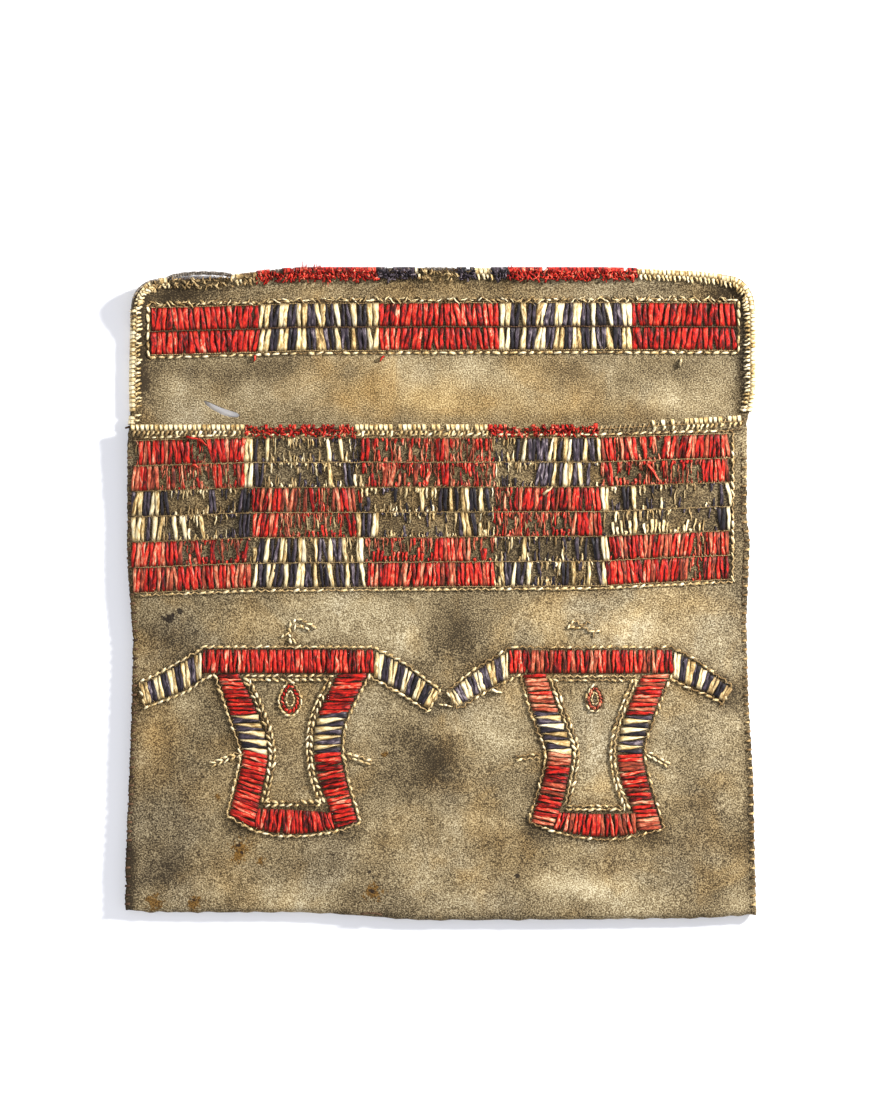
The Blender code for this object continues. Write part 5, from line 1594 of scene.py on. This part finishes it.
def flap_rim_line():
    """The flap's edge from the left side, over the top and down to the right side."""
    shoulder = Y_TOP - CORNER_DEPTH
    left = side_points(left_edge, Y_MOUTH + 1 * MM, shoulder)
    right = side_points(right_edge, shoulder - 0.2 * MM, Y_MOUTH + 4 * MM)
    places = np.linspace(left[-1].x + FLAP_CORNER, right[0].x - FLAP_CORNER, 60)
    top = [Vector((x, float(top_edge(x)))) for x in places]
    return Line(left + rounded(left[-1], top[0]) + top + rounded(right[0], top[-1])[::-1] + right)


def wrap_turn(place, outward, low, high, chance, width=WRAP_WIDTH, reach=WRAP_REACH):
    """A turn of quill over an edge: from the upper face, round the rim, to the underside."""
    across, along, rise = QUILL_POINTS
    stand = 0.5 * MM * chance.uniform(0.85, 1.2)
    bent = np.clip(np.abs(along - 0.5) * 2, 0, 1)
    inward = reach * chance.uniform(0.85, 1.1) * bent**1.6
    level = np.sign(0.5 - along) * np.minimum(bent * 1.7, 1.0) ** 0.6
    thick = 0.3 * MM * np.where(rise > 0.1, 1, -0.4) * (0.5 + 0.5 * swelling(along, 0.04, 0.96) ** 0.5)
    bulge = WRAP_BULGE * np.sqrt(np.clip(1 - bent**2, 0, 1)) - inward
    wide = width / 2 * (0.55 + 0.45 * np.sqrt(np.clip(1 - bent**2 * 0.9, 0, 1))) * chance.uniform(0.85, 1.1)
    offset = across * wide + chance.uniform(0.05, 0.3) * MM * (along - 0.5) * 2
    push = bulge + thick * (1 - np.abs(level))
    side = left_of(outward)
    x = place.x + outward.x * push + side.x * offset
    y = place.y + outward.y * push + side.y * offset
    droop = np.clip(bent - 0.75, 0, 0.25) * 4 * (stand - 0.12 * MM)
    z = (low + high) / 2 + level * ((high - low) / 2 + stand - droop) + thick * level
    return np.stack([x, y, z], axis=1), chance.random()


def stretch_at(stretches, place):
    for colour, start, end, missing in stretches:
        if start <= place < end:
            return colour, missing
    return None, 1.0


def ruffle(place, outward, heading, ground, chance, count=5):
    """Flattened, crossing quills over a frayed stretch of rim."""
    copies = []
    for _ in range(count):
        middle = place - outward * chance.uniform(-0.2, 3.0) * MM + heading * chance.about(0.9) * MM
        turn = chance.uniform(0, math.pi)
        reach = (outward * math.sin(turn) + heading * math.cos(turn)) * chance.uniform(0.4, 1.2) * MM
        width, rise = chance.uniform(0.4, 1.0) * MM, chance.uniform(0.6, 1.3) * MM
        copies.append(stroke(middle - reach, middle + reach, ground, chance, width, rise, STUB_TAIL))
    return copies


def flap_stretch(place):
    """The colour at a place on the flap's rim, and the share of turns lost there."""
    side = "left" if place.x < 0 else "right"
    on_side = place.y < Y_TOP - FLAP_CORNER
    colour, missing = stretch_at(FLAP_STRETCHES, SIDE_PLACES[side] if on_side else place.x / MM)
    foot, worn_share = WORN_FEET[side]
    if place.y < foot * MM:
        missing = max(missing, worn_share)
    return colour, missing


def make_flap_wraps():
    chance = Chance(101)
    rim = flap_rim_line()
    palette = defaultdict(list)
    for distance in rim.spaced(int(rim.length / WRAP_PITCH)):
        place, heading = rim.at(distance), rim.heading(distance)
        outward = left_of(heading)
        colour, missing = flap_stretch(place)
        if abs(place.x) > CORNER_FROM and place.y > Y_TOP - CORNER_DEPTH:
            place = place - outward * CORNER_INSET
        if colour == "cream":
            palette[colour] += ruffle(place, outward, heading, flap_face, chance, 3)
        if colour in ("red", "blue"):
            palette[colour] += ruffle(place, outward, heading, flap_face, chance)
            place = place + outward * RUFFLE_STAND
        if colour is None or chance.random() < missing:
            continue
        inner = place - outward * WRAP_INSET * MM
        low = float(back_low(inner.x, inner.y))
        palette[colour].append(wrap_turn(place, outward, low, low + HIDE_THICKNESS, chance))
        stub_top = place - outward * STUB_INSET * MM + heading * WRAP_PITCH / 2
        stub_low = stub_top - outward * chance.uniform(1.6, 2.4) * MM
        stub_low += heading * chance.uniform(0.2, 1.0) * MM
        palette[colour].append(stroke(stub_top, stub_low, flap_face, chance, *STUB_SHAPE))
    nodes = {}
    for colour in ("white", "cream", "red", "blue"):
        nodes[colour] = [f"flap_edging_{colour}_{side}" for side in ("left", "right")]
    nodes["cream"] = ["flap_edging_cream"]
    add_colours("flap_edging_{}", palette, nodes)


make_flap_wraps()


# %% The mouth's edging
MOUTH_TURNS = {"white": (1.6 * MM, 1.3 * MM), "red": (1.3 * MM, 1.2 * MM)}
MOUTH_STUB = (1.15 * MM, 0.7 * MM, 0.5)
BARE_STITCH = 0.16 * MM
EDGING_THREAD = 0.2 * MM


def make_mouth_wraps():
    chance = Chance(102)
    palette = defaultdict(list)
    threads = []
    left, right = MOUTH_ENDS
    outward = Vector((0, 1))
    count = int((right - left) / MOUTH_PITCH)
    for i in range(count):
        x = left + (right - left) * (i + 0.5) / count
        y = float(mouth_edge(x))
        colour, missing = stretch_at(MOUTH_STRETCHES, x / MM)
        low = float(front_low(x, y - 1 * MM)) + float(relief(x, y))
        if colour == "red":
            palette[colour] += ruffle(Vector((x, y)), outward, Vector((1, 0)), front_face, chance)
        if colour is None or chance.random() < missing:
            ends = [Vector((x - 0.5 * MM, y - 2.4 * MM)), Vector((x + 0.3 * MM, y - 0.2 * MM))]
            threads += lay_strand(ends, BARE_STITCH, front_face, chance, 0.15 * MM)
            continue
        shape = MOUTH_TURNS[colour]
        turn = wrap_turn(Vector((x, y)), outward, low, low + HIDE_THICKNESS, chance, *shape)
        palette[colour].append(turn)
        stub_top = Vector((x + MOUTH_PITCH / 2, y - 1.1 * MM))
        stub_low = stub_top + Vector((chance.uniform(-1.1, -0.3) * MM, -chance.uniform(1.5, 2.3) * MM))
        stub_colour = "cream" if colour == "white" and chance.random() < CREAM_SHARE else colour
        palette[stub_colour].append(stroke(stub_top, stub_low, front_face, chance, *MOUTH_STUB))
    places = {"white": ("left", "middle", "right"), "red": ("left", "right"), "cream": ()}
    nodes = {c: [f"mouth_edging_{c}_{place}" for place in names] for c, names in places.items()}
    add_colours("mouth_edging_{}", palette, nodes)
    xs = np.linspace(left + 1 * MM, right - 1 * MM, 200)
    for drop in (1.0, 3.6):
        line = [Vector((x, float(mouth_edge(x)) - drop * MM + chance.about(0.1) * MM)) for x in xs]
        threads += lay_strand(line, EDGING_THREAD, front_face, chance, 0.05 * MM)
    add_piece("mouth_edging_thread", STRAND, threads, "thread", "mouth_edging_bare_thread")


make_mouth_wraps()

# %% [markdown]
# Where the flap's quills are gone, the cord they were wound on shows. One length of it has pulled
# away from the rim and stands off like a bowstring. Between the white turns it shows in the gaps.

# %% The cord
CORD_PLY = 0.3744 * MM
CORD_STEPS = 26
CORE_RADIUS = 0.42 * MM
CORE_STAND = 0.3 * MM
# In mm: how high the cord and the core lie, and how far a ply swings out and up
CORD_HEIGHT = 0.85
CORE_HEIGHT = 0.75
PLY_OUT = 0.4
PLY_UP = 0.34
CORD_INSET = 0.1
CORD_TWIST = 14
BOW_BLUNTNESS = 0.4
# Each bare stretch is where it starts and ends, and how far it bows away from the rim, in mm
BARE_STRETCHES = [(-87.5, -66.0, 1.9), (-8.0, 5.6, 0.6), (-56.0, -47.0, 0.4), (-19.0, -12.0, 0.4)]
WHITE_ENDS = (-87.5 * MM, 62.7 * MM)


def strand_between(start, end, radius, chance, taper=0.0):
    """A short strand between two places in space. A place is its plan point and its height."""
    across, along, high = STRAND_POINTS
    (start, start_height), (end, end_height) = start, end
    run = end - start
    side = left_of(run).normalized() if run.length > 1e-7 else Vector((1, 0))
    thick = radius * (1 - taper * along)
    stretch = -0.06 + 1.12 * along
    x = start.x + run.x * stretch + side.x * across * thick
    y = start.y + run.y * stretch + side.y * across * thick
    z = start_height + (end_height - start_height) * stretch + high * thick
    return np.stack([x, y, z], axis=1), chance.random()


def beside_rim(rim, distance, off, rise):
    """A place off the rim and above the ground under it, in mm."""
    place = rim.at(distance)
    return place + left_of(rim.heading(distance)) * off * MM, float(back_low(*place)) + rise * MM


def bare_cord(rim, near, bow, chance):
    """Three plies, twisted round each other, that bow away from the rim."""
    strands = []
    for ply in range(3):
        places = []
        for k in range(CORD_STEPS + 1):
            share = k / CORD_STEPS
            twist = share * CORD_TWIST + 2 * math.pi * ply / 3
            off = bow * math.sin(math.pi * share) ** BOW_BLUNTNESS - CORD_INSET + PLY_OUT * math.sin(twist)
            distance = near[0] + (near[-1] - near[0]) * share
            places.append(beside_rim(rim, distance, off, CORD_HEIGHT + PLY_UP * math.cos(twist)))
        strands += [strand_between(a, b, CORD_PLY, chance) for a, b in zip(places, places[1:])]
    return strands


def wrapped_cord(rim, distances, chance):
    """The cord inside the white turns on both sides."""
    low, high = WHITE_ENDS
    kept = [d for d in distances if not low < rim.at(d).x < high]
    strands = []
    for pair in zip(kept, kept[1:]):
        if pair[1] - pair[0] < 2 * MM:
            ends = [beside_rim(rim, d, CORE_STAND / MM, CORE_HEIGHT) for d in pair]
            strands.append(strand_between(*ends, CORE_RADIUS, chance))
    return strands


def make_cord():
    chance = Chance(103)
    rim = flap_rim_line()
    strands = []
    distances = list(np.linspace(0, rim.length, 2400))
    places = [(rim.at(d), d) for d in distances]
    for start, end, bow in BARE_STRETCHES:
        near = [d for p, d in places if start * MM < p.x < end * MM and p.y > Y_TOP - FLAP_CORNER]
        strands += bare_cord(rim, near, bow, chance)
    strands += wrapped_cord(rim, distances[::12], chance)
    add_piece("rim_cord", STRAND, strands, "cord", "rim_cord_loose", "rim_cord_middle")


make_cord()

# %% [markdown]
# ## Side seams
# The sides are closed with whip-stitches. Each is a loop of sinew over both edges, slanting a
# little, and it pinches the hide into the small scallops that were made in the sheet.

# %% Whip-stitches
SEAM_WIDTH = 0.8 * MM
SEAM_REACH = 0.95 * MM
SEAM_MARGIN = 5 * MM
STITCHED_LOW = -2.0 * MM
STITCHED_TOP = 50.0 * MM
STITCHED_INSET = 1.3 * MM
DASH = 0.85 * MM
DASH_RADIUS = 0.13 * MM
DASH_LIFT = 0.02 * MM
SEAM_INSET = 0.35


def make_seams():
    chance = Chance(111)
    seams, dashes = [], []
    count = int((Y_MOUTH - Y_FOLD - 2 * SEAM_MARGIN) / STITCH_PITCH)
    for edge, sign in ((left_edge, -1), (right_edge, 1)):
        stitches = []
        for i in range(count):
            y = Y_FOLD + SEAM_MARGIN + i * STITCH_PITCH
            x = float(edge(y))
            low = float(back_low(x - sign * 1 * MM, y))
            high = float(front_low(x, y)) + HIDE_THICKNESS
            place = Vector((x - sign * SEAM_INSET * MM, y))
            stitches.append(wrap_turn(place, Vector((sign, 0)), low, high, chance, SEAM_WIDTH, SEAM_REACH))
        seams.append(stitches)
    for i in range(int((STITCHED_TOP - STITCHED_LOW) / (2 * DASH))):
        y = STITCHED_LOW + 2 * DASH * i
        ends = [Vector((float(right_edge(place)) - STITCHED_INSET, place)) for place in (y, y + DASH)]
        dashes += lay_strand(ends, DASH_RADIUS, front_face, chance, DASH_LIFT)
    add_piece("running_stitches", STRAND, dashes, "dark_thread")
    add_piece("side_seam_left_stitches", QUILL, seams[0], "dark_thread", "side_seam_left")
    add_piece("side_seam_right_stitches", QUILL, seams[1], "thread", "side_seam_right")


make_seams()

# %% [markdown]
# ## Loose ends
# Old quillwork is never neat. Sinew fibres stand out round every stitched line, broken quills
# stick up from the edging, and a few have come loose altogether. Each fibre is a chain of thinning
# strands that wanders as it goes.

# %% Fibres
FIBRE_STEPS = 4
FIBRE_RISE = 0.6 * MM
FIBRE_RADIUS = 0.075 * MM
DARK_RADIUS = 0.1 * MM
# How many fibres lie along a line, and their shortest and longest in mm
FIBRES = {"flap_top": (130, 1.2, 3.0), "flap_low": (50, 1.2, 3.0), "lane": (42, 0.8, 2.2)}
FIBRES |= {"outline": (150, 0.8, 2.0), "inner": (70, 0.8, 1.8), "rim": (110, 0.7, 1.8)}
FIBRES |= {"mouth": (150, 0.8, 2.0), "dark_rim": (170, 0.8, 2.2), "dark_mouth": (90, 0.8, 2.2)}


def fibre(start, heading, length, radius, ground, chance):
    """A wandering strand that starts on the work and lifts off it a little."""
    copies = []
    angle = math.atan2(heading.y, heading.x)
    here, height = start.copy(), ground(start.x, start.y) + 0.35 * MM
    for i in range(FIBRE_STEPS):
        angle += chance.about(0.5)
        there = here + Vector((math.cos(angle), math.sin(angle))) * length / FIBRE_STEPS
        rise = FIBRE_RISE * math.sin(math.pi * (i + 1) / FIBRE_STEPS * 0.9) * chance.uniform(0.4, 1.1)
        up = ground(there.x, there.y) + 0.3 * MM + rise
        thin = radius * (1 - i / FIBRE_STEPS * 0.6)
        copies.append(strand_between((here, float(height)), (there, float(up)), thin, chance))
        here, height = there, up
    return copies


def fibres_along(line, ground, kind, chance, radius=FIBRE_RADIUS):
    count, shortest, longest = FIBRES[kind]
    copies = []
    for _ in range(count):
        distance = chance.uniform(0, line.length)
        heading = line.heading(distance)
        side = left_of(heading) * chance.choice([-1, 1])
        direction = (heading * chance.about(1) + side * chance.uniform(0.2, 1)).normalized()
        reach = chance.uniform(shortest, longest) * MM
        copies += fibre(line.at(distance), direction, reach, radius, ground, chance)
    return copies


def make_fibres():
    chance = Chance(121)
    copies = []
    for line, room, kind in ((0, OUTLINE_ROOM, "flap_top"), (2, -OUTLINE_ROOM, "flap_low")):
        points = line_beside(flap_line, line, -92 * MM, 94 * MM, room, 30)
        copies += fibres_along(Line(points), flap_face, kind, chance)
    for line in range(7):
        points = line_beside(chequer_line, line, -96 * MM, 91 * MM, 0, 30)
        copies += fibres_along(Line(points), front_face, "lane", chance)
    for side in FIGURES:
        curves = figure_curves(side)
        for around, kind in ((figure_outline, "outline"), (inner_outline, "inner")):
            copies += fibres_along(Line(around(curves), closed=True), front_face, kind, chance)
    rim = flap_rim_line()
    copies += fibres_along(rim, flap_face, "rim", chance)
    mouth = Line([Vector((x, float(mouth_edge(x)) - 2.8 * MM)) for x in np.linspace(-96 * MM, 96 * MM, 40)])
    copies += fibres_along(mouth, front_face, "mouth", chance)
    add_piece("loose_fibres", STRAND, copies, "fibre")
    frayed = Line([p for p in rim.points if -88 * MM < p.x < 6 * MM and p.y > Y_TOP - 6 * MM])
    dark = fibres_along(frayed, flap_face, "dark_rim", chance, DARK_RADIUS)
    dark += fibres_along(mouth, front_face, "dark_mouth", chance, DARK_RADIUS)
    add_piece("dark_fibres", STRAND, dark, "dark_thread")


make_fibres()

# %% [markdown]
# Broken quills bristle out of the flap's dyed edging, and a few whole ones hang loose. The
# bristles are strands in the quills' own colours.

# %% Tufts and strays
# Each tuft is (x in mm, how far it stands out in mm, how many bristles)
TUFTS = {
    "red": [
        (-45.5, 1.4, 4), (-44.6, 3.0, 4), (-43.0, 2.0, 7), (-40.0, 1.4, 5), (-39.5, 2.9, 5),
        (-38.0, 2.6, 8), (-35.5, 2.2, 6), (-52.0, 0.9, 4), (-30.0, 0.8, 4), (-25.0, 0.8, 4),
    ],
    "blue": [(-17.5, 1.4, 6), (-10.5, 0.9, 4), (8.0, 0.8, 4), (18.0, 0.8, 4)],
}
RIGHT_TUFTS = [(21.8, 2.6, 5), (32.0, 0.7, 3), (52.0, 1.0, 3)]
TUFT_HEIGHT = 2.4 * MM
OUTWARD_SHARE = 0.72
LAID_BACK = -1.5
# Each stray is (start x, start y, end x, end y) in mm, on the front or, above its mouth, on the flap
STRAYS = {
    "white": [(16.0, -30.4, 19.6, -31.5), (76.7, 75.0, 76.4, 72.2)],
    "red": [(65.6, 41.7, 69.8, 35.6), (-18.0, 75.8, -19.4, 74.0), (-59.0, 76.0, -59.5, 74.0)],
}
STRAY_SHAPE = (1.1 * MM, 1.3 * MM, 0.4)
LATE_STRAYS = {
    "white": [(32.5, 31.6, 35.6, 34.2)],
    "red": [(-81.0, 50.0, -76.8, 49.2), (-77.2, 49.4, -73.8, 46.8), (-79.0, 41.3, -77.0, 40.1)],
}


def tuft(middle, reach, count, chance):
    """Bristles that stick out of the flap's upper rim, or now and then lie back over it."""
    strands = []
    for _ in range(count):
        x = (middle + chance.about(1.1)) * MM
        start = Vector((x, float(top_edge(x)) - chance.uniform(0.0, 1.4) * MM))
        out = 1 if chance.random() < OUTWARD_SHARE else LAID_BACK
        tip = start + Vector((chance.about(0.8), out * (0.6 + reach * chance.uniform(0.4, 1.0)))) * MM
        bend = start.lerp(tip, 0.55) + Vector((chance.about(0.25) * MM, 0))
        thick = chance.uniform(0.16, 0.3) * MM
        places = (start, TUFT_HEIGHT), (bend, TUFT_HEIGHT + 0.35 * MM), (tip, TUFT_HEIGHT + 0.5 * MM)
        strands.append(strand_between(*places[:2], thick, chance))
        strands.append(strand_between(*places[1:], thick * 0.8, chance, 0.7))
    return strands


def make_tufts():
    chance = Chance(131)
    bristles = {}
    for colour, tufts in TUFTS.items():
        bristles[colour] = [s for given in tufts for s in tuft(*given, chance)]
    for given in RIGHT_TUFTS:
        bristles["red"] += tuft(*given, chance)
    for colour, strands in bristles.items():
        add_piece(f"flap_edging_{colour}_bristles", STRAND, strands, colour)


# A torn place at the bottom edge and a dark nub at the mouth's left corner, in mm
TEAR = [(-25.4, -102.0), (-23.0, -101.7), (-21.0, -101.8), (-18.8, -102.2)]
NUB = [(-99.0, 53.2), (-100.4, 52.8)]
TEAR_RADIUS = 0.34 * MM
TEAR_LIFT = -0.2 * MM
NUB_HEIGHTS = (4.2 * MM, 4.0 * MM)
NUB_RADIUS = 0.55 * MM


def make_tear():
    chance = Chance(133)
    origin = Vector((0, 0))
    dark = lay_strand(placed(TEAR, origin), TEAR_RADIUS, front_face, chance, TEAR_LIFT)
    dark.append(strand_between(*zip(placed(NUB, origin), NUB_HEIGHTS), NUB_RADIUS, chance, 0.3))
    add_piece("torn_edge", STRAND, dark, "dark_thread")


def make_strays():
    chance = Chance(132)
    palette = defaultdict(list)
    for strays in (STRAYS, LATE_STRAYS):
        for colour, places in strays.items():
            for x0, y0, x1, y1 in places:
                ground = flap_face if y0 * MM > Y_MOUTH + 2 * MM else front_face
                start, end = Vector((x0, y0)) * MM, Vector((x1, y1)) * MM
                palette[colour].append(stroke(start, end, ground, chance, *STRAY_SHAPE))
    add_colours("stray_{}_quills", palette, dict.fromkeys(palette, ()))


make_tufts()
make_tear()
make_strays()

# %% [markdown]
# ## The table, the light and the camera
# The pouch lies on a plain pale table. A large soft light stands to the upper right and throws a
# short shadow to the left and below, and a weak one fills from the left. The camera looks straight
# down through a long lens.

# %% Table
TABLE_SIZE = 3.0
TABLE_GAP = 0.08 * MM
TABLE_COLOUR = (0.93, 0.93, 0.95, 1)


def make_table():
    material, _, paint = new_material("table", 0.9)
    paint["Base Color"].default_value = TABLE_COLOUR
    bm = bmesh.new()
    bmesh.ops.create_grid(bm, x_segments=1, y_segments=1, size=TABLE_SIZE / 2)
    bmesh.ops.translate(bm, verts=bm.verts, vec=(0, 0, -TABLE_GAP))
    add_object("table", bm, material)


make_table()

# %% Lights
# Each light is its place, its size, its power and its colour
LIGHTS = {
    "key": ((1.03, 0.56, 0.54), 0.22, 46.0, (1.0, 0.985, 0.96)),
    "fill": ((-0.9, -0.3, 1.2), 0.9, 10.0, (0.95, 0.97, 1.0)),
}
SKY_COLOUR = (0.93, 0.94, 1.0, 1)
SKY_POWER = 0.55


def add_light(name, place, size, power, colour):
    """A round soft light that is aimed at the middle of the pouch."""
    data = bpy.data.lights.new(name, "AREA")
    data.shape = "DISK"
    data.size = size
    data.energy = power
    data.color = colour
    light = bpy.data.objects.new(name, data)
    light.location = place
    light.rotation_euler = (-Vector(place)).to_track_quat("-Z", "Y").to_euler()
    bpy.context.scene.collection.objects.link(light)


def make_sky():
    world = bpy.data.worlds.new("studio")
    world.use_nodes = True
    sky = world.node_tree.nodes["Background"].inputs
    sky["Color"].default_value = SKY_COLOUR
    sky["Strength"].default_value = SKY_POWER
    bpy.context.scene.world = world


for name, settings in LIGHTS.items():
    add_light(name, *settings)
make_sky()
bpy.context.scene.view_settings.view_transform = "Standard"

# %% Camera
VIEW_MIDDLE = Vector((-1.8, 13.95, 5.0)) * MM
VIEW_HEIGHT = 350.2 * MM
VIEW_DISTANCE = 2.4
SENSOR = 24.0


def add_camera():
    data = bpy.data.cameras.new("camera")
    data.sensor_fit = "VERTICAL"
    data.sensor_height = SENSOR
    data.lens = SENSOR * VIEW_DISTANCE / VIEW_HEIGHT
    camera = bpy.data.objects.new("camera", data)
    camera.location = VIEW_MIDDLE + Vector((0, 0, VIEW_DISTANCE))
    bpy.context.scene.collection.objects.link(camera)
    bpy.context.scene.camera = camera


add_camera()
for template in (QUILL, STRAND):
    bpy.data.meshes.remove(template)
